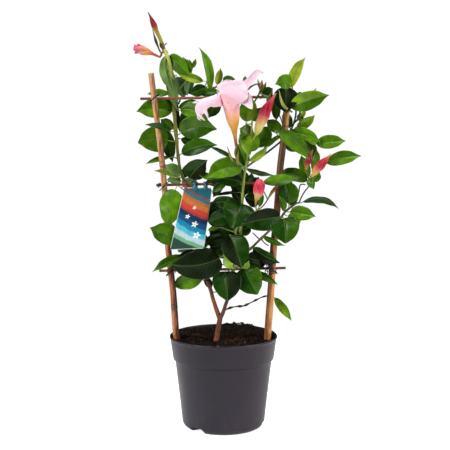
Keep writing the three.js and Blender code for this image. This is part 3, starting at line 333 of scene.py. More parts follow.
def tube(path, radii, sides, relief=None, domes=((), ())):
    """Closed round rod: rings about each place of the path, square to it, with radii read off a list.
    relief(share, turn) scales them. A dome is rows of (share of the end's radius, way beyond the end).
    Returns places, faces, and each place's share of the way and turn round the rod."""
    share = np.linspace(0, 1, len(path))
    radius = stops(share, radii)
    ahead, across, beside = frames(path)
    start, end = (np.array(dome, float).reshape(-1, 2) for dome in domes)
    path = np.vstack([path[0] - start[::-1, 1:] * ahead[0], path, path[-1] + end[:, 1:] * ahead[-1]])
    radius = np.concatenate([start[::-1, 0] * radius[0], radius, end[:, 0] * radius[-1]])
    share = np.concatenate([np.zeros(len(start)), share, np.ones(len(end))])
    pad = (len(start), len(end))
    across, beside = (np.pad(a, (pad, (0, 0)), mode="edge") for a in (across, beside))
    turn = np.arange(sides) / sides
    share, turn = np.meshgrid(share, turn, indexing="ij")
    radius = radius[:, None] * (1 if relief is None else relief(share, turn))
    angle = 2 * math.pi * turn[..., None]
    arrows = across[:, None] * np.cos(angle) + beside[:, None] * np.sin(angle)
    rings = path[:, None] + radius[..., None] * arrows
    share = np.concatenate([share.ravel(), [0, 1]])
    turn = np.concatenate([turn.ravel(), [0, 0]])
    return *closed(rings), share, turn


def leaf_outline(s, width):
    """Half width of a leaf as a share of its widest: a sine hump leaning to the base, drawn in to the tip.
    Broad leaves are widest nearer their base."""
    broad = smoothstep(width, 28, 50)
    body = np.maximum(np.sin(math.pi * s ** (0.8 - 0.14 * broad)), 0) ** (0.72 - 0.12 * broad)
    tail = 1 - (0.55 - 0.3 * broad) * smoothstep(s, 0.72 + 0.1 * broad, 0.98)
    return np.maximum(body * tail, 0.012)


def add_leaf(skin, root, base, tip, shape, seed):
    """Leaf with its petiole. Its shape is its width in columns, roll in degrees, bow, lift, and the tones of
    its left and right halves, seen from the base with the upper face up; the two tones hold the leaf's own
    colour and painted light and shade on its two halves. The midrib is a quadratic curve; the halves rise
    from it in a rounded fold, pucker between slanting veins, ripple near the margin, and thin towards it on
    both faces."""
    rng = np.random.default_rng(seed)
    width, roll, bow, lift, letters = shape
    width, roll = width * MM_PER_PIXEL, math.radians(roll)
    tint = np.array([LEAF_TONES_WITH_PAINTED_SHADE[letter] for letter in letters])
    ahead = unit(tip - base)
    middle = (base + tip) / 2
    facing = VIEW_POINT - middle
    facing = unit(facing - (facing @ ahead) * ahead)
    sideways = np.cross(ahead, facing)
    up = math.cos(roll) * facing + math.sin(roll) * sideways
    bend = middle + 2 * bow * sideways + 2 * lift * up
    size = np.linalg.norm(tip - base)
    rows, columns = next(grid for least, *grid in LEAF_GRIDS if size > least)
    s = 0.5 - 0.5 * np.cos(math.pi * np.linspace(0, 1, rows)[:, None])
    t = np.linspace(-1, 1, columns)[None, :]
    u = np.sign(t) * np.abs(t) ** 1.2
    centre = (1 - s) ** 2 * base + 2 * s * (1 - s) * bend + s ** 2 * tip
    tangent = unit((1 - s) * (bend - base) + s * (tip - bend))
    top = unit(up - (tangent @ up)[:, None] * tangent)
    side = np.cross(tangent, top)
    half = width / 2 * leaf_outline(s, width)
    across = u * half
    along = s * size
    spacing = min(VEIN_SPACING, size / 6)
    phase = (along - VEIN_SLANT * np.abs(across) - VEIN_CURL * across ** 2) / spacing + 0.25
    fold = math.tan(LEAF_FOLD) * half * (1.3 * np.abs(u) - 0.3 * np.abs(u) ** 3)
    dimples = (0.5 - 0.5 * np.cos(2 * math.pi * phase)) * (1 - u ** 2)
    pucker = 0.028 * spacing * dimples * smoothstep(np.abs(across), 0, 3)
    turns, amount = rng.uniform(1.6, 3.0, 2), rng.uniform(0.25, 1.0, 2)
    starts = rng.uniform(0, 2 * math.pi, 2)
    waves = np.where(u < 0, amount[0] * np.sin(2 * math.pi * turns[0] * s + starts[0]),
                     amount[1] * np.sin(2 * math.pi * turns[1] * s + starts[1]))
    margin = 0.045 * width * waves * np.abs(u) ** 3 * np.sin(math.pi * s) ** 0.5
    groove = -0.35 * np.exp(-(across / 0.8) ** 2)
    height = fold + pucker + margin + groove
    thick = BLADE * (1 - 0.55 * u ** 2)
    ridge = 0.75 * np.exp(-(across / 0.85) ** 2) * (1 - 0.8 * s)
    sheet = centre[:, None] + side[:, None] * across[..., None]
    upper = sheet + top[:, None] * (height + thick)[..., None]
    lower = sheet + top[:, None] * (height - thick - ridge)[..., None]
    blade = np.stack(np.broadcast_arrays(np.abs(across), phase, np.abs(u)), -1)
    above, under = (np.broadcast_to(value, blade.shape) for value in ((0, 0, 0), (1, 0, 0)))
    rng.uniform()  # a draw that is passed over
    tone = tint * rng.uniform(0.88, 1.12)
    # The two halves' tones meet at the midrib; besides the leaf's own colour they paint light on one half and
    # shade on the other.
    mix = smoothstep(u[0], -0.12, 0.12)[:, None]
    tone = np.broadcast_to(tone[0] * (1 - mix) + tone[1] * mix, blade.shape)
    skin.add(both_faces(upper, lower), sheet_faces(rows, columns), tint=both_faces(tone, tone),
             blade=both_faces(blade, blade), under=both_faces(above, under))
    reach = np.linalg.norm(base - root)
    elbow = base - tangent[0] * min(0.45 * reach, 7)
    way = curve([root, (root + elbow) / 2, elbow, base - top[0] * 0.3, centre[3] - top[0] * 0.5],
                max(8, int(reach / 2.5)))
    places, faces, share, _ = tube(way, PETIOLE_RADII, PETIOLE_SIDES)
    paler = STEM_PALE * 0.55 + tint.mean(0) * 0.6
    skin.add(places, faces, 1, tint=stops(share, [STEM_GREEN, paler, paler]), **PLAIN)


def nearest_on(lines, target, back=0):
    """Place of the lines nearest to the target, or one a few steps lower down its line."""
    found = [(np.linalg.norm(line - target, axis=1), line) for line in lines]
    far, line = min(found, key=lambda pair: pair[0].min())
    return line[max(far.argmin() - back, 0)]


def add_spikes(skin, spikes, finish=0, **marks):
    """Pointed bodies along smooth curves, thickest halfway, with three faint ribs that wind round."""
    def ribs(share, turn):
        return 1 + 0.1 * np.cos(6 * math.pi * (turn + share))

    for start, middle, end, radius, tints in spikes:
        way = curve(place([start, middle, end]), 22)
        places, faces, share, _ = tube(way, radius * SPIKE_RADII, SPIKE_SIDES, relief=ribs)
        skin.add(places, faces, finish, tint=tinted(share, tints), **marks)


def leafy_skin(stems, leaves, spikes, seed):
    """Leafy stem: round stems along smooth curves with a slight swelling at each leaf, and the leaves on
    petioles that start on the nearest stem, or on the stem that their row names."""
    skin = Skin()
    lines, courses = [], []
    for path, radii, tints in stems:
        points = place(path)
        if lines:
            points = np.vstack([nearest_on(lines, points[0]), points])
        courses.append((curve(points, max(6, int(span(points) / 3))), radii, tints))
        lines.append(curve(points, max(6, int(span(points) / 1.5))))
    roots = []
    for number, row in enumerate(leaves):
        base, tip = place([row[:3], row[3:6]])
        roots.append(nearest_on([lines[stem] for stem in row[11:]] or lines, base, 2))
        add_leaf(skin, roots[-1], base, tip, row[6:11], seed + number)
    for course, radii, tints in courses:
        near = np.linalg.norm(course[:, None] - np.array(roots), axis=-1).min(1)
        swollen = stops(np.linspace(0, 1, len(course)), radii) * (1 + 0.28 * np.exp(-(near / 2.6) ** 2))
        places, faces, share, _ = tube(course, swollen, STEM_SIDES, domes=((), ((0.8, 0.5), (0.4, 0.8))))
        skin.add(places, faces, 1, tint=tinted(share, tints), **PLAIN)
    add_spikes(skin, spikes, 1, **PLAIN)
    return skin


# Holder: pot and soil
def eased(profile, radius, steps):
    """Profile with its corners rounded: each gives way to a quadratic curve between points at a short
    distance on both sides."""
    p = np.asarray(profile, float)
    before, here, after = p[:-2], p[1:-1], p[2:]
    back, ahead = before - here, after - here
    a = here + back * np.minimum(radius / np.linalg.norm(back, axis=1), 0.45)[:, None]
    b = here + ahead * np.minimum(radius / np.linalg.norm(ahead, axis=1), 0.45)[:, None]
    t = np.linspace(0, 1, steps)[None, :, None]
    arcs = (1 - t) ** 2 * a[:, None] + 2 * t * (1 - t) * here[:, None] + t ** 2 * b[:, None]
    return np.vstack([p[:1], arcs.reshape(-1, 2), p[-1:]])


def pot_skin():
    """Pot turned from its profile, with very slight waves, and the bottom corner pressed in at the drains:
    where a drain's mask is 1, the wall's radius falls by the drain's depth."""
    bend = np.linspace(0, math.pi / 2, 9)
    corner = np.stack([BASE_RADIUS - CORNER_RADIUS + CORNER_RADIUS * np.sin(bend),
                       CORNER_RADIUS - CORNER_RADIUS * np.cos(bend)], -1)
    heights = np.linspace(CORNER_RADIUS, COLLAR_FOOT - 1, 14)[1:-1]
    wall = np.interp(heights, [CORNER_RADIUS, COLLAR_FOOT - 1], [BASE_RADIUS, BODY_TOP_RADIUS])
    collar = np.linspace(0.15, 0.9, 5)[:, None]
    foot = np.array([COLLAR_FOOT_RADIUS, COLLAR_FOOT + 1.6])
    lip = np.array([RIM_RADIUS - 1, POT_HEIGHT - 4])
    profile = np.vstack([
        [[20, 0], [44, 0]], corner, np.stack([wall, heights], -1),
        [[BODY_TOP_RADIUS, COLLAR_FOOT - 1], [BODY_TOP_RADIUS + 0.6, COLLAR_FOOT - 0.2],
         [COLLAR_FOOT_RADIUS - 1.6, COLLAR_FOOT], [COLLAR_FOOT_RADIUS - 0.4, COLLAR_FOOT + 0.5]],
        foot, foot + (lip - foot) * collar, lip,
        [[RIM_RADIUS - 0.25, POT_HEIGHT - 3.2], [RIM_RADIUS, POT_HEIGHT - 1.8],
         [RIM_RADIUS - 0.4, POT_HEIGHT - 0.3], [RIM_RADIUS - 1.2, POT_HEIGHT],
         [RIM_RADIUS - 2, POT_HEIGHT - 0.3], [RIM_RADIUS - 2.5, POT_HEIGHT - 1.4],
         [COLLAR_FOOT_RADIUS - WALL, COLLAR_FOOT + 2.5], [BODY_TOP_RADIUS - WALL, COLLAR_FOOT - 2],
         [BASE_RADIUS - WALL - 0.2, CORNER_RADIUS + 1], [BASE_RADIUS - CORNER_RADIUS, FLOOR], [20, FLOOR]],
    ])
    profile = eased(profile, 0.5, 3)
    angle = circle(POT_SIDES)
    radius, height = profile[:, :1], profile[:, 1:]
    round_by = radius * (1 + 0.0012 * np.sin(2 * angle + 0.4) * smoothstep(height, 60, 140))
    for drain in DRAIN_TURNS:
        off = (angle - math.radians(drain) + math.pi) % (2 * math.pi) - math.pi
        within = DRAIN_WIDTH / 2 - np.abs(off) * BASE_RADIUS
        top = DRAIN_HEIGHT * (0.55 + 0.45 * smoothstep(within, 0.5, 5))
        mask = smoothstep(within, -0.8, 0.8) * smoothstep(top - height, -0.7, 0.7)
        round_by = round_by - mask * np.clip(radius - DRAIN_INNER, 0, DRAIN_DEPTH)
    round_by = np.minimum(round_by, RIM_RADIUS)
    height = np.broadcast_to(height, round_by.shape)
    return Skin().add(*closed(np.stack([round_by * np.cos(angle), round_by * np.sin(angle), height], -1)))


def soil_height(x, y):
    """Level of the soil: a shallow mound, a heap at the back, and lumps and crumbs as sine waves."""
    mound = 3.5 * (1 - (x * x + y * y) / RIM_RADIUS ** 2) + 0.03 * y
    heap = 4.6 * np.exp(-((x - 34) ** 2 + (y - 72) ** 2) / 760)
    lumps = 1.3 * np.sin(0.19 * x + 1.1) * np.cos(0.23 * y - 0.4)
    crumbs = 0.8 * np.sin(0.41 * x - 0.33 * y)
    return SOIL_LEVEL - 1.5 + mound + lumps + crumbs + heap


def add_crumbs(skin, spots, sizes, flatness, tints, seed):
    """Crumbs and chips: small six-sided beads of four rings each, squashed and turned at random."""
    rng = np.random.default_rng(seed)
    lift = np.array([-1.0, -0.55, 0.5, 1.0])
    wide = np.array([0.25, 0.95, 0.85, 0.2])[:, None]
    angle = circle(6)
    ring = np.stack([wide * np.cos(angle), wide * np.sin(angle), np.repeat(lift[:, None], 6, 1)], -1)
    shape = ring.reshape(-1, 3)
    count = len(spots)
    rough = shape * rng.uniform(0.7, 1.3, (count, len(shape), 1))
    spread = np.stack([rng.uniform(0.7, 1.5, count), rng.uniform(0.5, 1.0, count), flatness], -1)
    scaled = rough * (sizes[:, None] * spread)[:, None]
    axes = np.linalg.qr(np.eye(3) + rng.normal(size=(count, 3, 3)) * np.array([1.0, 1.0, 0.35])[:, None])[0]
    axes *= np.sign(np.linalg.det(axes))[:, None, None]
    places = spots[:, None] + np.einsum("nvk,nkj->nvj", scaled, axes)
    groups = [grid_faces(4, 6, wrap=True), np.array([[3, 2, 1, 0], [5, 4, 3, 0]]),
              np.array([[18, 19, 20, 21], [18, 21, 22, 23]])]
    offset = (np.arange(count) * len(shape))[:, None, None]
    skin.add(places.reshape(-1, 3), [(group + offset).reshape(-1, 4) for group in groups],
             tint=np.repeat(tints, len(shape), axis=0))


def soil_skin():
    """Soil: rings from its foot up the inside of the pot and over the rough top, where three sizes of
    ripple roughen the level; crumbs and bark chips lie on it."""
    inset = GAP + 0.25
    edge = COLLAR_FOOT_RADIUS + 1.1 - inset
    wall = np.array([[1, FLOOR + inset], [BASE_RADIUS - CORNER_RADIUS - 2, FLOOR + inset],
                     [BASE_RADIUS - WALL - 0.2 - inset, CORNER_RADIUS + 2],
                     [BODY_TOP_RADIUS - WALL - inset, COLLAR_FOOT - 2],
                     [COLLAR_FOOT_RADIUS - WALL - inset, COLLAR_FOOT + 3.5]])
    angle = circle(SOIL_SIDES)
    radius = np.concatenate([wall[:, 0], np.linspace(edge, 1, SOIL_RINGS)])[:, None]
    x, y = radius * np.cos(angle), radius * np.sin(angle)
    flat = np.stack([x, y, np.zeros_like(x)], -1)
    rough = ripple(flat, 11, 3) + 0.9 * np.abs(ripple(flat, 4.6, 5)) + 0.55 * ripple(flat, 2.4, 8)
    level = soil_height(x, y) + rough - 0.6
    level[:len(wall)] = wall[:, 1:]
    places, faces = closed(np.stack([x, y, level], -1))
    patch = smoothstep(ripple(places, 26, 12), -0.5, 0.9)[:, None]
    speck = smoothstep(ripple(places, 3.4, 17), 0.35, 0.9)[:, None]
    warm = sum(np.exp(-((places[:, 0] - right) / wide) ** 2 - ((places[:, 1] - back) / deep) ** 2)
               for right, back, wide, deep in WARM_PATCHES)[:, None]
    tint = mixed(mixed(rgb(SOIL_DARK), SOIL_BROWN, 0.5 * patch), SOIL_SPECK, 0.6 * speck)
    skin = Skin().add(places, faces, tint=mixed(tint, SOIL_WARM, 0.7 * warm))

    def lying(reach, turn, above):
        x, y = reach * np.cos(turn), reach * np.sin(turn)
        return np.stack([x, y, soil_height(x, y) + above], -1)

    rng = np.random.default_rng(21)
    for count, low, high, flat_by, palette, seed in CRUMBS:
        reach = np.sqrt(rng.uniform(0, 1, count)) * (edge - 2)
        turn = rng.uniform(0, 2 * math.pi, count)
        sizes = rng.uniform(low, high, count)
        tints = np.array([rgb(code) for code in palette])[rng.integers(0, len(palette), count)]
        flatness = flat_by * rng.uniform(0.6, 1.2, count)
        add_crumbs(skin, lying(reach, turn, 0.1 + sizes * 0.15), sizes, flatness, tints, seed)
    turn, inwards, size = rng.uniform(size=(BACK_CRUMBS, 3)).T
    spots = lying(edge + 0.3 - 5 * inwards, np.radians(48 + 54 * turn), 1.0 + 1.2 * size)
    tints = np.tile(rgb(BACK_CRUMB_TINT), (BACK_CRUMBS, 1))
    add_crumbs(skin, spots, 0.7 + size, np.full(BACK_CRUMBS, 0.8), tints, 30)
    return skin


# Crumbs on the soil: how many, smallest and largest size, flatness, colours, seed
CRUMBS = [
    (900, 0.5, 1.3, 0.7, [0x17110D, 0x231A14, 0x0F0C0A, 0x33261B], 31),
    (260, 1.2, 2.4, 0.45, [0x1C1410, 0x3A2A1D, 0x120E0B], 32),
    (44, 1.4, 3.0, 0.22, [0x45301F, 0x5E4430, 0x3A281B, 0x6A4E36], 33),
]

# Browner patches of the soil: middle and half sizes
WARM_PATCHES = [(15, -25, 14, 8), (-42, 10, 9, 6)]

# Canes: the shown part by columns and rows, the buried part by x and height; tints by row give a left and a
# right side colour, which paint lit and shaded edges as well as the cane's own colour
CANES = {
    "left": dict(
        path=[(151, 73.4), (157, 120), (161.4, 156), (164.3, 186), (168.5, 250), (173.1, 291), (177, 341)],
        buried=[(-67.4, 112), (-62, 90), (-55, 60), (-50, 34)],
        radii=(5.5, 5.4, 4.9, 4.6, 4.6), knots=(166, 308),
        tints=[(73, 0xD0A070, 0x8A5632), (160, 0xD09C68, 0x86502C), (170, 0xD8A470, 0x9A5E34),
               (215, 0xD09C68, 0x945830), (250, 0xA8643C, 0x5E3024), (290, 0xA8663C, 0x4E2018),
               (303, 0x9A5834, 0x481C14), (316, 0xB87440, 0x582418), (345, 0xC07C3C, 0x5A2A18)]),
    "right": dict(
        path=[(288, 91), (284.6, 132), (281.1, 160), (280.2, 168), (277, 211), (273.4, 250), (271.4, 283),
              (268, 330), (267.2, 341)],
        buried=[(66, 112), (61, 90), (54, 60), (48, 34)],
        radii=(6.1, 5.2), knots=(131, 262),
        tints=[(91, 0x9A6838, 0xD8A058), (128, 0x9C6A3A, 0xDCA860), (135, 0x64401A, 0x46290A),
               (175, 0x623E18, 0x402608), (210, 0x8A5232, 0x5A3420), (240, 0x4A2A1C, 0xA8683C),
               (262, 0x5A3422, 0xC07C40), (280, 0x9A5E34, 0xD09048), (345, 0x8A5430, 0xCA8A48)]),
}

CROSSBARS = {
    "top": [(140.5, 98.8), (297, 96.5)],
    "middle": [(156.5, 185.2), (292, 182)],
    "lower": [(159.5, 270.8), (285.5, 268)],
}
BAR_DEPTHS = (CANE_DEPTH + BEHIND_LEFT + STICK_RADIUS + GAP, CANE_DEPTH + BEHIND_RIGHT + STICK_RADIUS + GAP)


def cane_course(cane, count):
    """The cane's axis from its buried foot to its top."""
    shown = place([(column, row, CANE_DEPTH) for column, row in cane["path"]])
    below = np.array([(x, CANE_DEPTH, z) for x, z in cane["buried"]])
    return curve(np.vstack([below[::-1], shown[::-1]]), count)


def cane_heights(rows):
    """Heights of rows of the front view at the canes' depth."""
    return place([(VIEW_CENTRE, row, CANE_DEPTH) for row in rows])[:, 2]


def cane_skin(cane):
    """Bamboo cane: a round rod that bends a little, with a raised ring and a groove at each knot. Its tint
    goes from row to row and from its left to its right side, and darkens at the knots; the two side colours
    paint lit and shaded edges onto the cane's own colour."""
    course = cane_course(cane, CANE_STEPS)
    knots = course[np.abs(course[:, 2:] - cane_heights(cane["knots"])).argmin(0), 2]
    off = course[:, 2:] - knots
    swelling = (0.075 * np.exp(-((off - 1.2) / 1.5) ** 2) - 0.05 * np.exp(-((off + 2) / 1.2) ** 2)).sum(1)
    radii = stops(np.linspace(0, 1, len(course)), cane["radii"]) * (0.965 + swelling)
    radii = radii * (1 + 0.012 * np.sin(course[:, 2] / 13))
    dome = ((0.97, 0.3), (0.9, 0.5), (0.55, 0.2), (0.5, -1.2))
    places, faces, _, _ = tube(course, radii, CANE_SIDES, domes=((), dome))
    x, z = places[:, 0], places[:, 2]
    off = z[:, None] - knots
    ring = (np.exp(-((off + 1) / 1.5) ** 2) + 0.7 * np.exp(-((off - 6) / 1.4) ** 2)).sum(1)[:, None]
    shade = np.exp(-(off / 14) ** 2).sum(1)[:, None]
    across = np.clip((x - np.interp(z, course[:, 2], course[:, 0])) / radii.mean(), -1, 1)
    across = smoothstep(across + 0.6 * ripple(places * np.array([1, 1, 0.16]), 3.2, 44), -0.25, 0.55)[:, None]
    rows, left, right = zip(*cane["tints"][::-1])
    heights = cane_heights(rows)

    def along(codes):
        tints = np.array([rgb(code) for code in codes])
        return np.stack([np.interp(z, heights, part) for part in tints.T], -1)

    streak = ripple(places * np.array([1, 1, 0.03]), 2.4, 41)[:, None]
    # The left and right colours paint light and shade on the cane's two sides over its own colour.
    tint = (along(left) * (1 - across) + along(right) * across) * (1 + 0.16 * streak) * (1 - 0.22 * shade)
    return Skin().add(places, faces, tint=np.clip(mixed(tint, KNOT_TINT, 0.9 * ring), 0, 1))


def bar_ends(name):
    """Left and right end of a crossbar's axis, just behind the canes."""
    return place([(*end, depth) for end, depth in zip(CROSSBARS[name], BAR_DEPTHS)])


def bar_skin(name):
    """Crossbar: a thin round stick, very slightly bowed and uneven, darker at both cut ends."""
    course = curve(bar_ends(name), 90)
    radii = STICK_RADIUS * (0.97 + 0.03 * np.sin(course[:, 0] / 9))
    dome = ((0.93, 0.25), (0.7, 0.4))
    places, faces, share, _ = tube(course, radii, STICK_SIDES, domes=(dome, dome))
    ends = np.exp(-((share * (1 - share) * 4) / 0.12) ** 2)[:, None]
    streak = ripple(places * np.array([0.04, 1, 1]), 1.6, 43)[:, None]
    tint = mixed(rgb(STICK_TINT) * (1 + 0.2 * streak), STICK_END_TINT, 0.7 * ends)
    return Skin().add(places, faces, tint=np.clip(tint, 0, 1))


def add_hoop(skin, way, across, beside, radius, sides):
    """Closed ring of round wire about a closed way, with two arrows square to it at each place."""
    angle = circle(sides)[:, None]
    arrows = np.broadcast_to(across, way.shape)[:, None] * np.cos(angle) + beside[:, None] * np.sin(angle)
    faces = grid_faces(len(way) + 1, sides, wrap=True) % (sides * len(way))
    skin.add((way[:, None] + radius * arrows).reshape(-1, 3), [faces])


def tie_skin(cane_radius, crossing, lean):
    """Wire loop round a crossing: a rounded rectangle |cos|^0.8, |sin|^0.8 lying aslant, with the two
    ends twisted together in front as a short helix."""
    deep = cane_radius + STICK_RADIUS + WIRE_RADIUS + GAP + 0.9
    wide = cane_radius * 1.42 + WIRE_RADIUS + 1.4
    centre = crossing + np.array([0, STICK_RADIUS + GAP / 2, 0])
    back = np.array([0, 1, 0])
    aslant = np.array([math.cos(lean), 0, math.sin(lean)])
    across = np.array([-math.sin(lean), 0, math.cos(lean)])
    turn = circle(64)[:, None]
    cos, sin = np.cos(turn), np.sin(turn)
    way = (centre + aslant * wide * np.sign(cos) * np.abs(cos) ** 0.8
           + back * deep * np.sign(sin) * np.abs(sin) ** 0.8)
    beside = np.cross(unit(np.roll(way, -1, 0) - np.roll(way, 1, 0)), across)
    skin = Skin()
    add_hoop(skin, way, across, beside, WIRE_RADIUS * 0.9, 10)
    t = np.linspace(0, 1, 26)[:, None]
    for start in (0, math.pi):
        spin = start + t * 3 * math.pi
        out = aslant * (-2 + 4 * t) + across * (0.8 * np.cos(spin)) + back * (0.8 * np.sin(spin) - 0.3)
        places, faces, _, _ = tube(centre - back * deep + out, [WIRE_RADIUS * 0.62] * 2, 8)
        skin.add(places, faces)
    return skin


# Loops of loose wire at crossings: middle in the view, half width, half height, lean and turn in degrees
WIRE_LOOPS = {
    "tie_lower_right": [
        ((265.4, 266.4, -22), 3.4, 2.6, 20, 30), ((268.4, 264.6, -24), 3.0, 4.2, -30, 20),
        ((268, 269.6, -23), 4.4, 2.4, 40, -25), ((271.6, 268, -24), 3.8, 3.0, -15, 35),
        ((274.4, 270, -22), 3.2, 2.6, 50, 20), ((266.6, 271.4, -21), 2.4, 3.4, 10, -40),
        ((271, 272.4, -22), 3.6, 2.2, -35, 15), ((270.4, 264.6, -22), 5.0, 2.0, 60, 10)],
    "tie_lower_left": [
        ((170.6, 269.6, -20), 4.6, 3.2, 25, 20), ((173.4, 271.4, -20), 3.4, 2.6, -20, -25),
        ((169, 271.4, -19), 3.0, 2.0, 10, 30)],
    "tie_middle_left": [
        ((159.6, 184.6, -18), 2.4, 2.2, 20, 20), ((158.8, 185.8, -18), 1.8, 2.6, -30, 30)],
}


def add_loops(skin, loops):
    """Loose wire: closed rings, each an ellipse with a second small wave, tilted by its lean and turn."""
    angle = circle(40)[:, None]
    for number, (middle, wide, high, lean, turn) in enumerate(loops):
        lean, turn = math.radians(lean), math.radians(turn)
        aslant = np.array([math.cos(lean) * math.cos(turn), math.sin(turn), math.sin(lean) * math.cos(turn)])
        across = unit(np.cross(aslant, [0.1, -1, 0.2]))
        out = np.cross(aslant, across)
        way = (place([middle]) + aslant * wide * np.cos(angle) + across * high * np.sin(angle)
               + unit(out) * 0.9 * np.sin(2 * angle + number))
        ahead = unit(np.roll(way, -1, 0) - np.roll(way, 1, 0))
        beside = unit(np.cross(ahead, out))
        add_hoop(skin, way, beside, np.cross(ahead, beside), LOOSE_WIRE, 8)


# Hanging card
CARD_CORNERS = [(184, 187.5, -12), (212.3, 187.5, -12), (204, 248.5, -32), (169.8, 250, -32)]
CARD_THICKNESS = 0.9
CARD_GRID = (41, 25)
STRAPS = [(185.5, 4.5), (195, 8), (205.5, 6.5)]
# Print: where each band of colour starts, and the place and size of each small blossom
CARD_BANDS = [(0.20, 0x8A4638), (0.235, 0x1A6F80), (0.29, 0xB06A30), (0.345, 0xC8703A), (0.42, 0xCC4030),
              (0.50, 0xA63A34), (0.54, 0x0C2E4C), (0.62, 0x0A4A74), (0.71, 0x1080A4), (0.79, 0x4FB4C8),
              (0.87, 0xB4CCD8), (0.955, 0x6FA67A), (1.02, 0x24443A)]
CARD_BLOSSOMS = [(0.60, 0.60, 0.1), (0.33, 0.47, 0.075), (0.72, 0.78, 0.11), (0.5, 0.33, 0.06)]


def card_skin():
    """Card: a grid stretched between its four corners, with cut corners, a slight bend across, and
    straps that go up from it and over the middle stick. Mark print holds the place on the card's face."""
    tl, tr, br, bl = place(CARD_CORNERS)
    facing = unit(np.cross(bl - tl, tr - tl))
    rows, columns = CARD_GRID
    v, u = np.meshgrid(np.linspace(0, 1, rows), np.linspace(0, 1, columns), indexing="ij")
    pull = 0.06 * (np.clip(1 - v / 0.05, 0, 1) + np.clip((v - 0.97) / 0.03, 0, 1) * 0.6)
    flat_u = 0.5 + (u - 0.5) * (1 - 2 * pull)
    right, down = flat_u[..., None], v[..., None]
    flat = (tl * (1 - right) + tr * right) * (1 - down) + (bl * (1 - right) + br * right) * down
    bent = flat + facing * (0.5 * np.cos(math.pi * (u - 0.5)) * (0.4 + 0.6 * v))[..., None]
    face, behind = (np.stack([flat_u, v, np.full_like(u, side)], -1) for side in (0, 1))
    places, faces = both_faces(bent, bent - facing * CARD_THICKNESS), sheet_faces(rows, columns, turned=True)
    skin = Skin().add(places, faces, print=both_faces(face, behind))
    bar = bar_ends("middle")
    for number, (column, width) in enumerate(STRAPS):
        foot = place([(column, 190, -12.6)])[0]
        share = (foot[0] - bar[0, 0]) / (bar[1, 0] - bar[0, 0])
        over = bar[0] + (bar[1] - bar[0]) * share
        reach = STICK_RADIUS + GAP + 0.5
        turn = np.linspace(math.radians(190), math.radians(-30), 13)
        arc = np.stack([over[1] + reach * np.cos(turn), over[2] + reach * np.sin(turn)], -1)
        way = np.vstack([[foot[1] - 0.1, foot[2]], [foot[1] + 0.1, (foot[2] + over[2]) / 2 - 0.5], arc,
                         [[over[1] + reach + 0.3, over[2] - 4], [over[1] + reach + 0.9, over[2] - 7]]])
        along = unit(np.gradient(way, axis=0))
        out = np.stack([-along[:, 1], along[:, 0]], -1) * 0.8
        left, right = foot[0] - width / 2, foot[0] + width / 2
        corners = [(left, way), (right, way), (right, way + out), (left, way + out)]
        rings = np.stack([np.column_stack([np.full(len(way), x), line]) for x, line in corners], 1)
        near = np.array([[3, 2, 1, 0]])
        faces = [grid_faces(len(way), 4, wrap=True), near, near[:, ::-1] + 4 * (len(way) - 1)]
        skin.add(rings.reshape(-1, 3), faces, print=(0.1 + 0.35 * number, 0.02, 0))
    return skin


# Woody foot
TRUNK = [(215.5, 345, -29), (217.5, 334, -27), (219, 324, -24), (220, 319, -23)]
LEFT_BRANCH = [(220, 319, -23), (216.3, 309, -20), (212.8, 298, -17), (210.2, 288.5, -14), (207, 280, -12)]
RIGHT_BRANCH = [(220, 319, -23), (223.6, 311, -24), (225.5, 305, -24), (227.4, 299, -23), (229, 290, -21)]
BARE_TWIG = [(224, 310.6, -24), (230.6, 307.7, -20), (237.6, 306.4, -16), (243.7, 305.8, -12),
             (254, 301, -6), (262.5, 297, 0), (267, 296, 2), (271.5, 296.5, 2.5)]
SIDE_TWIG = [(199.5, 279.3, -16), (206, 280.6, -16.5), (213.5, 281.6, -15)]
TWIG_RADII = [1.4, 1.0, 2.3, 0.9, 1.0, 2.3, 0.9, 2.2, 0.9, 0.9, 1.9, 0.9, 0.9, 1.6, 0.9, 0.9]
TRUNK_RADII = [3, 4.4, 4.5, 4.1, 3.9]
ROOTS = [(-8, -14, 62), (-11, -23, 100)]


def wood_skin():
    """Woody foot: the trunk, its fork and a bare twig as round stems of uneven thickness, with bark
    ripples along and round them."""
    skin = Skin()
    rods = [
        (np.vstack([ROOTS, place(TRUNK)]), TRUNK_RADII, [0x4A281C, 0x6A3420, 0x7E4022, 0x6A3C26]),
        (place(LEFT_BRANCH), [3.7, 3.1, 2.9], [0x74401F, 0x8A4A2A, 0x6E3E22, 0x5A4A28]),
        (place(RIGHT_BRANCH), [3.3, 2.8, 2.6], [0x6A4030, 0x54362A, 0x453026, 0x4E4428]),
        (place(BARE_TWIG), TWIG_RADII, [0x2E1E18, 0x2A1E18, 0x2C2A1C, 0x2E361E, 0x38481F]),
        (place(SIDE_TWIG), [0.8, 0.9, 0.6], [0x1A1614, 0x1A1614]),
    ]
    for number, (points, radii, tints) in enumerate(rods):
        course = curve(points, max(24, int(span(points) / 1.4)))
        rough = 0.05 if number < 3 else 0.03

        def bark(share, turn, number=number, rough=rough):
            spot = np.stack([np.cos(turn * 2 * math.pi), np.sin(turn * 2 * math.pi), share * 9], -1)
            return 1 + rough * ripple(spot, 1.3, 50 + number)

        domes = (((0.6, 0.6),), ((0.7, 0.6), (0.3, 0.9)))
        places, faces, share, _ = tube(course, radii, WOOD_SIDES, relief=bark, domes=domes)
        mottle = 1 + 0.3 * ripple(places, 5, 61)[:, None] + 0.25 * ripple(places, 2.2, 62)[:, None]
        skin.add(places, faces, tint=np.clip(tinted(share, tints) * mottle, 0, 1))
    return skin


# Open bloom
FLOWER_BASE = (236.3, 146.2, -22.7)
FLOWER_THROAT = (231, 104, -44)
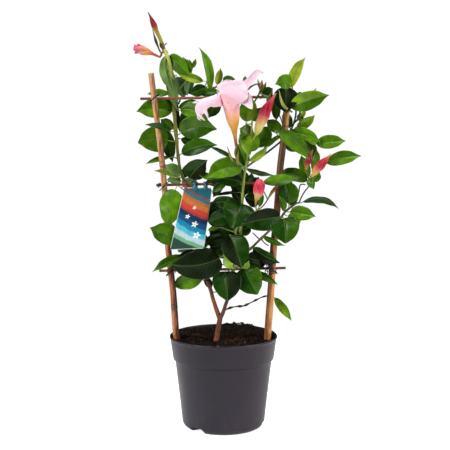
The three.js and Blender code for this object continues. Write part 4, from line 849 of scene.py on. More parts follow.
# Radii by the share of the way from the base to the throat, outside and inside; a share of 1 counts as
# FUNNEL_LENGTH millimetres while they are smoothed
FUNNEL_LENGTH = 40
FUNNEL_SIDES = 60
TUBE_RADII = [(0, 2.2), (0.2, 2.8), (0.36, 4.4), (0.6, 9.0), (0.85, 11.6), (1, 12.6)]
THROAT_RADII = [(0.985, 11.7), (0.9, 9.6), (0.75, 7.2), (0.55, 3.4), (0.42, 1.2)]
TUBE_TINTS = [0x843A08, 0x8E4808, 0xB06E04, 0xCE8E08, 0xE69C24, 0xF8AE5C, 0xFFB68C, 0xFFB8A8, 0xFFB8B8]
TUBE_GOLD = 0xC68C00
THROAT_GOLD = 0xC88A2A
FUNNEL_ENDS = (0xA8561E, 0xC07A2A)
PETAL_ROOT = (0.93, 11.3)
PETAL_RIM = (1.0, 13.1)
THROAT_MARKS = [(228, 102.6, -60), (224.6, 94.6, -62), (239.4, 102.8, -62)]
THROAT_PINK = 0xFFBCC0
PETAL_THICKNESS = 0.3
PETAL_GRID = (56, 25)
PETAL_EDGE = 0xFFF6F4
PETAL_TINTS = [0xFFB8BA, 0xF8BECA, 0xF6C4D4, 0xF8CEDE, 0xF8D4E2, 0xF8D8E6]
# A petal: the two turns of the rim between which it grows, its bulge there and farther out as shares of its
# width, its lightness, which paints shade on the petals turned most to the lamps and light on the front one,
# and rows with its two edges in the front view
PETALS = [
    ((154, 226), (-0.19, 0.136), 1.0, [
        (220.8, 94.4, -55, 219, 106.6, -57), (214, 95.8, -54, 214.5, 107.2, -60),
        (208.5, 97.3, -56, 210.5, 106.5, -62), (201, 99.2, -57, 206.5, 109.8, -64),
        (196.4, 104, -57, 204.2, 113, -62), (195.4, 110.5, -56, 201.6, 116, -59),
        (198, 117, -55, 200.5, 119, -56)]),
    ((154, 82), (0.19, 0.136), 0.76, [
        (220, 93, -44, 243, 94, -44), (217, 88.7, -38, 245.5, 89, -38), (219.4, 83.4, -29, 245, 83.5, -31),
        (224, 80.9, -23, 241.5, 80.6, -24), (231, 80, -20, 236, 80, -20)]),
    ((82, 10), (0.19, 0.136), 0.86, [
        (238, 86, -40, 246.5, 91, -43), (246, 79.2, -36, 251.8, 84, -39),
        (251.3, 73.8, -34, 256.6, 78.4, -36), (256.3, 69.6, -32, 259.8, 73, -34),
        (260, 70.4, -32, 261, 73.2, -33), (263.3, 72.4, -32, 263.2, 73.6, -32)]),
    ((10, -62), (0.19, 0.136), 0.8, [
        (244, 91, -50, 240, 103.2, -55.5), (249.5, 93, -54, 245.5, 106.2, -60),
        (252, 99, -56, 250.2, 108.8, -65), (252.9, 106.5, -62, 252.6, 109.4, -66)]),
    ((226, 298), (-0.19, -0.09), 1.07, [
        (221.6, 98.5, -57, 240.6, 103, -57), (220.4, 94, -57, 247.4, 98.4, -57),
        (219.8, 89, -57, 247.6, 91, -54), (221.5, 84.6, -57, 246, 85.6, -52),
        (225.5, 81.5, -58, 243, 81.8, -54)]),
]


def throat_shade(places):
    """Darkening of the bloom's front by a small spot and along the fold that runs down to the right of
    it, bell curves of the distance from a point and from a line, and the share of the throat's pink
    below that line, both square to the view's depth."""
    spot, start, end = place(THROAT_MARKS)[:, ::2]
    flat = places[:, ::2]
    length = np.linalg.norm(end - start)
    along = (end - start) / length
    share = np.clip((flat - start) @ along, 0, length)[:, None]
    off = np.linalg.norm(flat - start - share * along, axis=1)
    from_spot = np.linalg.norm(flat - spot, axis=1)
    ahead = smoothstep(-places[:, 1], 44, 56)
    below = smoothstep((flat - start) @ np.array([along[1], -along[0]]), -0.4, 2.4) * ahead
    shade = (0.26 * np.exp(-(from_spot / 1.5) ** 2) + 0.13 * np.exp(-(off / 0.9) ** 2)) * ahead
    return shade[:, None], below[:, None]


def funnel_profile(radii, count):
    """Evenly spread shares and radii along the smooth curve through a list of them."""
    stretch = np.array([FUNNEL_LENGTH, 1])
    return curve(radii * stretch, count) / stretch


def add_petal(skin, rim, number):
    """Petal: a sheet stretched between two smooth edges that start on the rim, dished as 4w(1-w) and ruffled
    near its edges. Its tint goes from root to tip and is paler along the edges, and its lightness paints
    shade and light onto it beyond the root."""
    (left, right), (bulge, outer_bulge), painted_lightness, edges = PETALS[number]
    pairs = [np.concatenate([rim(*level, left), rim(*level, right)]) for level in (PETAL_ROOT, PETAL_RIM)]
    pairs += [place([row[:3], row[3:]]).ravel() for row in edges]
    rows, columns = PETAL_GRID
    a, b = np.hsplit(curve(pairs, rows), 2)
    s = np.linspace(0, 1, rows)[:, None]
    w = np.linspace(0, 1, columns)[None, :]
    edge = np.abs(2 * w - 1)
    normal = unit(np.cross(np.gradient((a + b) / 2, axis=0), b - a))
    wide = np.linalg.norm(b - a, axis=1)[:, None]
    ruffle = 0.05 * wide * np.sin(2 * math.pi * (2.6 * s + 0.35 * number) + 2.2 * (w > 0.5)) * edge ** 4
    crease = -0.25 * np.exp(-((w - 0.5) / 0.03) ** 2)
    ribs = (crease + 0.1 * np.cos(26 * math.pi * w)) * smoothstep(s, 0.1, 0.3)
    dish = bulge + (outer_bulge - bulge) * smoothstep(s, 0.1, 0.4)
    height = dish * wide * 4 * w * (1 - w) + ruffle + ribs
    sheet = a[:, None] * (1 - w[..., None]) + b[:, None] * w[..., None]
    thick = PETAL_THICKNESS * (1 - 0.5 * edge)
    upper = sheet + normal[:, None] * (height + thick)[..., None]
    lower = sheet + normal[:, None] * (height - thick)[..., None]
    turned = np.cross(upper[1, 1] - upper[1, 0], upper[2, 0] - upper[1, 0]) @ normal[1] < 0
    pale = (edge ** 7 * smoothstep(s, 0.1, 0.5))[..., None]
    tint = mixed(tinted(s * np.ones_like(w), PETAL_TINTS), PETAL_EDGE, 0.4 * pale)
    # Painted shade and light: the tint beyond the root is scaled by the petal's lightness.
    tint = tint * (1 + (painted_lightness - 1) * smoothstep(s, 0.06, 0.25))[..., None]
    places = both_faces(upper, lower)
    shade, pink = throat_shade(places)
    pink = pink * (number == len(PETALS) - 1)
    skin.add(places, sheet_faces(rows, columns, turned),
             tint=mixed(both_faces(tint, tint), THROAT_PINK, pink) * (1 - shade))


def flower_skin():
    """Bloom: a funnel turned about its own axis with faint ribs, hollow at the mouth, golden along its
    right side, with five petals and their curled ends."""
    base, throat = place(FLOWER_BASE), place(FLOWER_THROAT)
    axis = throat - base
    across = unit(np.array([1, 0, 0]) - axis * axis[0] / (axis @ axis))
    beside = unit(np.cross(axis, across))

    def rim(share, radius, degrees):
        turn = np.radians(degrees)
        return base + axis * share + across * radius * np.cos(turn) + beside * radius * np.sin(turn)

    outer, inner = funnel_profile(TUBE_RADII, 46), funnel_profile(THROAT_RADII, 18)
    share, radius = np.hsplit(np.vstack([outer, inner]), 2)
    inside = np.arange(len(share))[:, None] >= len(outer)
    turn = circle(FUNNEL_SIDES)[None, :]
    ribs = 1 + 0.03 * np.cos(5 * turn + 0.8) * smoothstep(share, 0.2, 0.7) + 0.01 * np.cos(20 * turn)
    radius = (radius * np.where(inside, 1, np.minimum(ribs, 1.03)))[..., None]
    cos, sin = np.cos(turn)[..., None], np.sin(turn)[..., None]
    places, faces = closed(base + axis * share[..., None] + across * radius * cos + beside * radius * sin)
    streak = 0.1 * (0.5 + 0.5 * np.cos(5 * turn + 0.8))[..., None]
    golden = 0.8 * smoothstep(share, 0.1, 0.3) * (1 - smoothstep(share, 0.5, 0.8))
    golden = golden * smoothstep(np.cos(turn), -0.4, 0.7)
    deep = inside * smoothstep(-share, -1.0, -0.7) * np.ones_like(turn)
    tint = tinted(share * np.ones_like(turn), TUBE_TINTS)
    tint = tint * (1 - streak) + np.clip(tint * 1.25, 0, 0.97) * streak
    tint = mixed(mixed(tint, TUBE_GOLD, golden[..., None]), THROAT_GOLD, deep[..., None])
    ends = [rgb(code) for code in FUNNEL_ENDS]
    skin = Skin().add(places, faces, tint=np.vstack([tint.reshape(-1, 3), *ends]))
    for number in range(len(PETALS)):
        add_petal(skin, rim, number)
    add_spikes(skin, PETAL_CURLS)
    return skin


# Curled ends of the bloom's left petal and jagged tips of the faded bloom: start, middle and end in the
# view, radius, tints
CURL_TINTS = (0xF0D0DC, 0xF4E0E4, 0xF6ECE8)
PETAL_CURLS = [
    ((201, 107, -61), (205.6, 112, -63), (208.2, 119, -62), 1.9, CURL_TINTS),
    ((198.5, 110, -59), (201.5, 117.5, -60), (205.4, 120.6, -60), 1.7, CURL_TINTS),
    ((197.8, 113, -57), (198.3, 118, -57), (200.6, 120.6, -58), 1.3, CURL_TINTS),
    ((199, 104.5, -58), (196, 102.4, -58), (192.4, 102.8, -57), 1.3, CURL_TINTS),
]
FADED_TIPS = [
    ((140, 47.6, -1), (136.4, 46.8, -3), (134.2, 44.4, -4), 2.4, (0xE88E96, 0xCC5468, 0xB83C56)),
    ((140, 49.4, -3), (135.8, 49.4, -6), (133.3, 49.9, -6), 2.6, (0xE88E96, 0xCC5468, 0xC04460)),
    ((140, 51, -1), (136.6, 52, -3), (134.2, 53.6, -4), 2.2, (0xE88E96, 0xD0607A, 0xC04460)),
    ((141, 46.4, -2), (138.6, 45.2, -4), (137.2, 43.6, -4), 2.0, (0xE89A96, 0xC85A68, 0xB0405A)),
]

# Buds: axis in the front view, radii from base to tip, rolled folds (how many, how far they wind, how
# deep), colours from base to tip, colour of the folds' edges
BUDS = {
    "bud_top_left": dict(
        path=[(164.2, 48.6, 5.8), (159.5, 37.5, 3), (155.4, 28.6, 1), (150.5, 17, -1), (147.8, 12, -2)],
        radii=[2.0, 2.9, 3.0, 3.1, 3.6, 4.9, 3.8, 1.6, 0.5], folds=(5, 1.6, 0.10),
        tints=[0x6A6A28, 0x8C9230, 0xA0A038, 0xA69E38, 0xA4903C, 0x9A2230, 0x861826, 0x70222C, 0x5C4240],
        edge=0xB0503C),
    "spent_bloom": dict(
        path=[(152.5, 53.7, 2), (146, 51.5, 0), (139, 49, -2), (134, 48.3, -4)],
        radii=[2.6, 4.0, 5.8, 6.9, 7.4, 7.2, 6.0, 3.4], folds=(5, 0.7, 0.2),
        tints=[0xB8582A, 0xD8802E, 0xE49A44, 0xE89C60, 0xE88E74, 0xE67C80, 0xDC6678, 0xCC5068],
        edge=0xF0B0A4),
    "bud_centre": dict(
        path=[(255.8, 135.2, -21.4), (259, 127, -24), (264, 115, -28), (269.5, 104, -31), (276.3, 93.2, -33)],
        radii=[2.2, 6.2, 7.6, 8.4, 9.0, 7.8, 5.2, 2.4, 0.5], folds=(5, 1.3, 0.16),
        tints=[0xB0B440, 0xD0CC74, 0xE8C884, 0xE89C74, 0xCC3A50, 0xC01838, 0xC62044, 0xD04C5C, 0xE8A488],
        edge=0xDC7C7C),
    "bud_right_small": dict(
        path=[(306, 169.7, -15.5), (308.5, 160, -17), (313, 149.4, -19)],
        radii=[1.8, 3.8, 5.0, 5.1, 3.5, 1.6, 0.4], folds=(5, 1.2, 0.16),
        tints=[0x98903A, 0xB06A34, 0x8C1824, 0x921A28, 0xA02A30, 0xB86A3C, 0xC09048], edge=0xD08A48),
    "bud_right": dict(
        path=[(311.5, 176.8, -15.4), (318, 168, -19), (326, 159.5, -22), (331, 153.7, -25)],
        radii=[1.8, 4.0, 6.4, 7.4, 6.8, 4.6, 2.0, 0.5], folds=(5, 1.2, 0.16),
        tints=[0xB89A3E, 0xDCB060, 0xDC8A58, 0xC02C40, 0xB81C34, 0xBC2840, 0xD06858, 0xE4A084],
        edge=0xD88070),
    "bud_rolled": dict(
        path=[(255.6, 203.8, -30.1), (257.2, 197, -32), (259.2, 188, -36), (260, 180, -39)],
        radii=[1.7, 2.6, 4.6, 7.4, 8.8, 9.0, 8.2, 5.0], folds=(5, 1.1, 0.2),
        tints=[0xA88430, 0xC09A40, 0xDCBC70, 0xE4AC80, 0xE04858, 0xD82848, 0xDA3050, 0xE05068],
        edge=0xE88088),
    "bud_low": dict(
        path=[(268.9, 197.3, -22.9), (272.6, 191.4, -21.4), (276, 187.4, -20.6), (279.8, 183.4, -20)],
        radii=[1.3, 2.2, 2.8, 2.8, 1.6, 0.4], folds=(5, 1.0, 0.1),
        tints=[0x607E2C, 0x86A038, 0x8C7A30, 0xA02C3C, 0x9A5038, 0xA0A058], edge=0xB8A050),
}


def bud_skin(path, radii, folds, tints, edge, tips):
    """Bud: a spindle whose rolled petals wind up it. The rest of (folds times turn + winding times share)
    sets how far the surface stands out, so each petal's edge is a small spiral step."""
    count, wind, depth = folds

    def fold(share, turn):
        return (count * turn + wind * share * 2) % 1

    def rolled(share, turn):
        rest = fold(share, turn)
        step = rest - 0.5 - smoothstep(rest, 0.88, 1.0) * 0.95
        return 1 - 0.3 * depth + depth * step * smoothstep(share, 0.02, 0.3)

    blunt = radii[-1] > 2
    dome = ((0.86, 0.5), (0.62, 0.1), (0.4, -1.4), (0.15, -3.0)) if blunt else ((0.6, 0.3),)
    course = curve(place(path), 96)
    places, faces, share, turn = tube(course, radii, BUD_SIDES, relief=rolled, domes=((), dome))
    rest = fold(share, turn)
    rim = smoothstep(rest, 0.72, 0.88) * (1 - smoothstep(rest, 0.93, 1.0)) * smoothstep(share, 0.15, 0.4)
    shade = 0.4 * (1 - rest) ** 3 * smoothstep(share, 0.1, 0.5)
    tint = mixed(tinted(share, tints) * (1 - shade[:, None]), edge, 0.22 * rim[:, None])
    skin = Skin().add(places, faces, tint=tint)
    add_spikes(skin, tips)
    return skin


# Leafy stems: rows of stems (course in the view, radii, tints) and of leaves (base, tip, width in columns,
# roll in degrees, bow and lift in millimetres, tone letters of the two halves with their painted light and
# shade, and for some the stem they grow from)
LEFT_VINE = dict(
    stems=[
        ([(206.8, 279.6, -12), (203.2, 271.5, -10.5), (199, 258, -12), (196.5, 243, -15), (193, 225, -13),
          (189.5, 205, -3), (185, 184, 7), (179.8, 167, 9), (177.8, 153, 9), (176.7, 141, 8), (175.7, 131, 7),
          (174.9, 120, 7), (173.7, 106, 9), (173.2, 90, 10), (172.8, 81, 10), (171.9, 74, 4), (170.6, 67, -2),
          (168.8, 60, -2), (166.4, 54, 2), (164.4, 49, 6)], [2.7, 2.4, 2.0, 2.2, 2.7, 2.6, 2.5],
          [0x6A5A2C, 0x7A8438, 0x6E7030, 0x8A8A3C, 0x92923C, 0x9AA040, 0xA8B64C]),
        ([(178.3, 104, 8), (181, 98, 9), (190, 92.5, 9), (205, 90, 8), (216, 87, 8), (226, 84, 8)],
         [1.5, 1.0], [0x4E5A26, 0x3E3A20]),
        ([(176, 92, 11), (184, 84, 13), (190, 75, 13), (192, 69.5, 13)], [1.3, 0.9], [0x5A7A2C, 0x6A8A34]),
        ([(161.5, 53, 8), (156.6, 43, 12), (154.6, 37, 13), (152.6, 29.6, 13)],
         [1.5, 1.2, 1.3, 2.4, 1.2, 0.5], [0x4A4A20, 0x2E2A18, 0x5A5A26, 0x2A1416, 0x3A1E1C, 0x8A7A60]),
        ([(160.5, 57, 5), (156, 55.3, 3), (152.6, 53.8, 2)], [1.6, 1.8, 2.3], [0x8A6A2E, 0xB0602E, 0xB8602C]),
    ],
    leaves=[
        (165.5, 56, 4, 170.5, 90, 1, 12, 155, 3, 1, "pp"),
        (170.5, 70, 5, 177, 110, 3, 12, 165, 1, 1, "pn"),
        (169, 56.5, 5, 190, 77, -8, 16, 25, -4, 4, "bn"),
        (190, 75, 14, 182.5, 56.5, 20, 9, 20, 0, 2, "bb"),
        (191.5, 69, 13, 189, 59, 15, 4, 0, 0, 0, "lb"),
        (192.5, 68, 12, 196, 58.5, 9, 4.5, 20, 0, 0, "ly"),
        (203, 81, 8, 175, 71.5, -4, 9, 15, -2, 2, "yl"),
        (177, 77, 14, 184, 99, 22, 15, 200, 0, 2, "dd"),
        (193, 77, 9, 187, 96, 4, 10, 155, 1, 1, "dg"),
        (206, 87, 7, 189, 94, 5, 12, 10, -1, 1, "dd"),
        (217, 92, 7, 199, 95.5, 6, 9, 20, 1, 2, "dm"),
        (209, 89.5, 8, 198.8, 47, 4, 9.5, 25, 6, 2, "bb"),
        (211.3, 89, 10, 211.3, 59.5, 18, 6.5, -20, -1, 1, "mm"),
        (217, 84.5, 7, 220.8, 67.8, 4, 7.5, 10, 0, 1, "yo"),
        (223.5, 81, 8, 235.5, 79.5, 2, 8, 20, -3, 2, "nm"),
        (168.5, 94, 11, 147, 94, 14, 10, 40, 0, 1, "nb"),
        (172, 111.5, 9, 136.4, 111.7, 9, 20, 12, 4, 2, "bn"),
        (180.5, 110, 4, 208.5, 122, -14, 17, -10, -7, 3, "nb"),
        (218, 101, 8, 208.5, 118, 5, 13, 0, 0, 2, "dm", 1),
        (181, 133, 2, 217, 129.5, -18, 23, 10, -8, 3, "nm"),
        (171, 131, -18, 145, 124.5, -31, 12, 60, -1, 2, "dd"),
        (173, 129, 9, 160.5, 119, 14, 11, 0, 0, 1, "mn"),
        (168, 140.5, 9, 138, 143, 4, 26, 8, 3, 2, "nn"),
        (165.5, 129, 13, 173, 162.5, 22, 14, -15, 2, 2, "md"),
        (169, 157.5, 12, 145.5, 164, 14, 6, 30, 1, 1, "bm"),
        (172, 176, -19, 154, 170.5, -25, 8, 60, 0, 1, "bo"),
        (179, 176.5, 3, 164.5, 164.5, 3, 15, 160, 0, 1, "bb"),
        (181, 181, 12, 166, 180, 18, 10, 150, 0, 1, "nn"),
        (182, 153.5, 4, 217.5, 145, -16, 16, -12, -4, 3, "md"),
        (181, 139, 12, 201, 146, 26, 10, 10, -1, 2, "dm"),
        (190, 178, 8, 207.5, 160, -8, 21, 5, -3, 3, "dk"),
        (183, 178, 12, 190, 163, 24, 9, 0, 0, 1, "mm"),
        (175.5, 190, -12, 169.5, 227, -20, 25, -17, 4, 1, "bb"),
        (178, 237, -18, 150, 227.5, -26, 22, 12, -2, 2, "mn"),
        (184, 256.5, -17, 152.3, 272, -24, 11, 35, 1, 3, "nm"),
        (203, 275.5, -9, 171.5, 286, 1, 17, -10, 0, 2, "bn"),
        (201, 214, 4, 222, 203, 22, 16, 20, 0, 3, "md"),
        (198, 233, 2, 202, 252, 24, 17, -20, 0, 3, "dd"),
        (192, 240, 0, 178, 252, 20, 15, -25, 0, 3, "dk"),
        (180, 125, 20, 190, 108, 36, 14, 25, 0, 3, "dd"),
        (184, 186, 20, 197, 176, 38, 14, 160, 0, 3, "dk"),
        (175, 108, 10, 160, 102, 16, 11, 10, 0, 1, "dm"),
        (179, 108, 6, 200, 102, 8, 9, 10, -2, 2, "mm"),
        (177.5, 103, 14, 179.5, 133, 16, 5, 40, 0, 1, "kk"),
    ],
)

CENTRE_VINE = dict(
    stems=[
        ([(229.1, 289.6, -21), (231, 280, -20), (234, 267, -18), (237.5, 252, -16), (240, 236, -15),
          (241.6, 218, -15), (242.2, 204, -15), (243, 190, -14), (244, 178, -13), (246, 166, -12),
          (248.8, 150, -11), (251, 135, -9), (252.3, 118, -7), (252.8, 108, -6)],
          [2.5, 2.3, 2.0, 1.9, 1.8, 1.5, 1.2], [0x6E7A34, 0x8A9A42, 0x9CB04E, 0x96B04A, 0x8AA844]),
        ([(244.8, 168, -13), (238, 161, -18), (235, 153, -21), (236.2, 146.9, -22.5)], [1.4, 1.4],
         [0x5A7A24, 0x7A6A24]),
        ([(250.5, 145, -13), (253.5, 139, -18), (255.4, 135.2, -21)], [1.2, 1.2], [0x8AA040, 0x9AA848]),
        ([(252, 116, -7), (254, 103, -11), (258, 96, -11), (261, 88, -7)], [1.2, 1.3], [0x5A6A2C, 0x55622A]),
        ([(261, 88, -7), (258.6, 84, -6), (252, 86, -5), (247, 90, -4)], [0.9, 1.2, 1.5],
         [0x2E2A20, 0x3A3A28]),
        ([(237, 240, -16), (236.6, 229, -22), (246, 218.5, -27), (257, 210.5, -28), (261.4, 207.6, -27)],
         [1.5, 1.2], [0x6E7A30, 0x8A8A3A]),
        ([(257, 210.5, -28), (255.8, 207.2, -29), (255.6, 204, -30)], [1.1, 1.1], [0x8A8A3A, 0x9A8A34]),
        ([(261.4, 207.6, -27), (265.5, 203, -25), (268.8, 197.5, -23)], [1.0, 0.9], [0x3E3A24, 0x56602A]),
    ],
    leaves=[
        (247, 121.5, -14, 252, 95.5, -18, 17.5, 5, -2, 3, "bl"),
        (244, 85, -5, 245.2, 75.5, -4, 5, 20, 0, 1, "nb"),
        (253, 121, -4, 262, 107, 4, 10, 10, 0, 2, "mn"),
        (250.8, 151.5, -14, 253.5, 131.5, -17, 15, 2, 0, 2, "lb"),
        (250, 153, -14, 239.5, 139, -22, 10, 20, 0, 2, "ll"),
        (252, 136, -4, 239.5, 128.5, 6, 13, 15, 1, 3, "nm"),
        (254, 146, 2, 270.5, 125.5, 13, 17, 10, 1, 3, "bn"),
        (249.8, 161, -14, 268, 146, -24, 8, 25, 1, 2, "ly"),
        (246.5, 168.5, -8, 274, 175.5, 2, 9, 55, -1, 2, "kg"),
        (246.5, 166, -8, 237.5, 143.5, 2, 13, 5, 0, 2, "mn"),
        (242, 168.5, -17, 206.5, 178.5, -30, 21, 18, 6, 4, "bn"),
        (242, 182, -15, 210, 178.5, -18, 15, 10, 2, 2, "dk"),
        (247, 193, 4, 259, 177, 14, 16, 15, 0, 2, "dm"),
        (240, 194, 4, 235, 175, 16, 16, 10, 0, 2, "mn"),
        (245, 197, -10, 259, 204, 8, 15, -20, 0, 3, "dk"),
        (263.5, 182, -27, 298.5, 178.5, -33, 12, -25, 2, 4, "bm"),
        (239.5, 206, -19, 210.5, 204, -6, 14, -25, 7, 4, "dd"),
        (241.5, 204, -18, 232, 228, -42, 32, 0, 0, 4, "dd"),
        (229, 215, -20, 207.5, 222, -24, 16, -12, 1, 3, "dd"),
        (219.5, 258, -24, 171.5, 264.5, -34, 31, 8, -7, 4, "kk"),
        (233, 159, -15, 209, 146.5, -8, 5, 30, 1, 1, "dd"),
        (226, 182, -9, 212, 193, -10, 9, 20, 0, 2, "md"),
        (217, 228, -22, 207.5, 230.5, -26, 5, 30, 0, 1, "nn"),
        (230.5, 237, -22, 242, 268, -40, 27, -5, -1, 4, "dk"),
        (226, 271.5, -24, 227.5, 301, -38, 29, -5, 0, 4, "kd"),
        (244, 268, -20, 257.5, 294.5, -30, 28, 8, 0, 4, "md"),
        (254, 271, -20, 278, 285, -30, 9, 35, -3, 3, "dn"),
        (239, 267, -18, 249, 260.5, -40, 9, 50, 2, 2, "pp"),
        (224.5, 257, -24, 234, 269, -36, 9, 30, 1, 1, "lp"),
        (246, 257, -10, 268, 262, 4, 19, 0, 1, 3, "kk"),
        (228, 226, -8, 210, 238, 2, 20, -15, 1, 4, "dk"),
        (230, 240, -8, 212, 256, 8, 22, -15, 1, 4, "dk"),
        (262, 218, -2, 246, 226, -8, 12, -20, 0, 2, "dd"),
        (262.5, 97, -8, 273, 88.5, -2, 11, 10, -1, 2, "md"),
        (259, 207, -28, 263, 192.5, -24, 5, 20, 0, 1, "bb"),
        (239, 230, -4, 229, 222, 20, 18, 25, 0, 4, "dd"),
        (238, 232, -2, 251, 226, 12, 13, 10, 0, 3, "dd"),
        (236, 258, 0, 222, 250, 26, 20, 25, 0, 4, "dk"),
        (237, 192.5, -8, 214, 196, 2, 3.5, 20, 1, 1, "kk"),
        (241, 204, -6, 232, 187, 4, 10, 10, 0, 2, "kk"),
        (243, 196, 6, 240, 167, 14, 18, 10, 0, 3, "dd"),
        (248, 194, 4, 252, 172, 14, 10, 0, 0, 2, "kk"),
        (236, 240, -6, 226, 228, 8, 14, 0, 0, 2, "kk"),
        (241, 236, 4, 233, 211, 16, 17, 0, 0, 2, "kk"),
        (238, 214, 12, 212, 204, 22, 17, 10, 0, 3, "kd"),
        (237, 228, 10, 214, 219, 20, 17, 10, 0, 3, "kk"),
        (214, 179, -8, 197, 172.8, 0, 7, 10, 0, 1, "nm"),
        (226, 180, -6, 205, 182, 4, 12, 10, 0, 2, "kd"),
        (223, 181, -8, 213, 197.5, 2, 9, 10, 0, 2, "md"),
        (232, 222, -8, 205, 219.5, -2, 14, -10, 0, 3, "dk"),
        (226, 236, -8, 204, 243, 0, 14, -10, 0, 3, "dd"),
        (211, 288, -10, 204.5, 276.5, -4, 8, 10, 0, 2, "dk"),
        (218, 256, -14, 173, 257, -17, 15, 0, 0, 3, "dk"),
        (218, 265, -14, 176, 271, -17, 14, 0, 0, 3, "dk"),
        (238, 264, -12, 263, 269, -14, 9, 0, 0, 2, "dk"),
        (251, 148, -8, 239.5, 134, -2, 14, 0, 0, 2, "nm"),
        (246, 134, -6, 246.5, 146, 0, 12, 0, 0, 2, "bn"),
    ],
)

RIGHT_VINE = dict(
    stems=[
        ([(238.4, 255, -14), (243, 253, -13), (249, 250, -13), (260, 239.5, -16), (269, 231, -21),
          (279, 220, -23), (285, 212, -19), (291, 207, -14), (297, 203, -12)], [2.0, 1.9, 1.8, 1.6, 1.5],
          [0x6E7E34, 0x62702E, 0x3E3C22, 0x4A5426]),
        ([(298.2, 203.5, -12), (302, 196, -12), (305.4, 190.5, -12), (309.6, 185, -12), (310.2, 178, -12)],
         [1.08, 1.06], [0x3A3A20, 0x44401F]),
        ([(295.5, 203.5, -12), (298.6, 193, -10), (300.6, 184.5, -10), (305, 184.5, -11)], [1.1, 1.0],
         [0x3A3420, 0x3A3E20]),
        ([(309.5, 180, -12), (307, 174, -14), (305.9, 170.4, -15)], [1.08, 1.06], [0x4A5A26, 0x8A7A34]),
        ([(310, 179, -12), (311, 177.4, -14.6)], [1.1, 1.1], [0x5A6A28, 0x9A8A34]),
        ([(310, 178.4, -12), (312.6, 173, -6), (318, 167, -3), (327, 163.5, -6)], [1.1, 1.0],
         [0x4A5A26, 0x5A6A30]),
        ([(260, 239.5, -16), (256, 236, -14), (253, 233, -12)], [1.0, 0.8], [0x2A2A1C, 0x30301C]),
        ([(262, 240, -16), (265, 243.5, -18), (268.4, 245.5, -19)], [1.0, 0.8], [0x3A3A20, 0x30301C]),
    ],
    leaves=[
        (289, 203, -18, 283.5, 180.5, -20, 21, 8, 2, 2, "dm"),
        (284, 211, -21, 279, 196, -28, 8, 35, 1, 1, "mn"),
        (303, 202, -10, 338.5, 209, -4, 9, 40, -13, 5, "dd"),
        (290, 212, -20, 316, 216.5, -32, 15, -12, 0, 3, "nb"),
        (280, 216.5, -27, 241, 224, -44, 22, -10, 1, 4, "dk"),
        (283.5, 218.5, -27, 285.5, 243.5, -42, 29, 0, -1, 4, "md"),
        (263, 236.5, -17, 285, 246, -30, 7, 35, -1, 2, "mn"),
        (288, 216, -16, 301, 221, 2, 14, -15, 0, 3, "nb"),
        (253, 248.5, -15, 280, 263, -30, 15, 35, -1, 4, "dk"),
        (327, 163, -6, 361.5, 156, -14, 14, -12, -2, 4, "nb"),
        (312.5, 170, -3, 316.5, 148.5, 4, 9, 20, 1, 2, "nb"),
        (312, 181, -10, 319.5, 171, -4, 10, 20, 0, 2, "bn"),
        (309, 179, -14, 314, 189.5, -24, 8, 0, 0, 2, "nb"),
        (307, 181, -8, 279, 172, 6, 14, 20, 2, 3, "nm"),
        (308, 178, -6, 301, 155, 8, 11, 0, 0, 2, "nn"),
        (292, 206, 0, 286, 190, 30, 16, 25, 0, 4, "dn"),
        (287, 226, 2, 281, 240, 22, 16, -25, 0, 3, "dd"),
    ],
)

TOP_RIGHT_SHOOT = dict(
    stems=[
        ([(246.2, 167.4, -12), (252, 163, -8), (258, 159, -4), (268, 151.8, 1), (279, 143, 5),
          (288, 134.5, 5), (293.5, 124, 0), (296, 112, -6), (294.5, 100, -14), (291.6, 89, -20)],
          [1.5, 1.5, 1.4, 1.3], [0x4A4A26, 0x3A3420, 0x4A3E24, 0x5A4A28]),
        ([(291, 130, 3), (300, 130, 2), (308, 133, 0), (316, 142, -4)], [1.3, 1.0], [0x5A6A2C, 0x4A5A26]),
        ([(293.5, 124, 0), (299, 117, -4), (301, 108, -8)], [1.1, 0.9], [0x4A4A24, 0x4A4424]),
        ([(284, 138, 4), (282, 122, 3), (276, 108, 1), (274.6, 102, 0)], [1.1, 0.9], [0x3A3A20, 0x4A4A24]),
    ],
    leaves=[
        (291, 87.5, -21, 305.8, 57.5, -26, 11.5, 20, -6, 3, "yy"),
        (291, 85, -22, 275, 84.5, -32, 15, 5, 4, 3, "nb"),
        (286.5, 87.5, -20, 286.5, 113, -21, 24, 0, 1, 2, "kk"),
        (297, 101, -16, 303, 93, -6, 10, 10, 0, 2, "mm"),
        (291, 107.5, -21, 329.5, 95, -34, 18.5, 8, -3, 4, "ln"),
        (300, 103, -10, 316.5, 88, -6, 9, 150, 1, 2, "yp"),
        (297, 127, 0, 315, 115, -8, 10.5, 20, 1, 2, "ll"),
        (298, 120, -3, 303, 112, -6, 7, 15, 0, 1, "bb"),
        (275, 101, -2, 276.5, 121, 2, 10, -25, 1, 2, "nm"),
        (281, 132, 4, 266, 119.5, 8, 12, 10, 0, 2, "nn"),
        (278.5, 132, -20, 308.5, 160, -32, 15, 15, -7.5, 4, "nb", 0),
        (291, 132, -2, 320.5, 142, -14, 13, -12, -2, 4, "bb"),
        (316.5, 144, -5, 304.5, 134.5, -15, 7, 0, 0, 2, "pl"),
        (316.5, 143.5, -5, 346, 141, -12, 14, -12, 0, 3, "bb"),
        (281, 135.5, 0, 262, 151, -6, 9, 55, -1, 2, "bn"),
        (305, 140, 3, 315, 159, 8, 13, -15, 0, 2, "mn"),
        (277, 104, 4, 266, 97, 6, 12, 10, 0, 2, "dd"),
        (288, 134, 8, 300, 152, 26, 18, 10, 0, 3, "dd"),
        (290, 128, 4, 284, 112, 24, 10, 10, 0, 3, "dd"),
        (300, 118, -4, 306, 109.5, -8, 5, 10, 0, 1, "yy"),
    ],
)

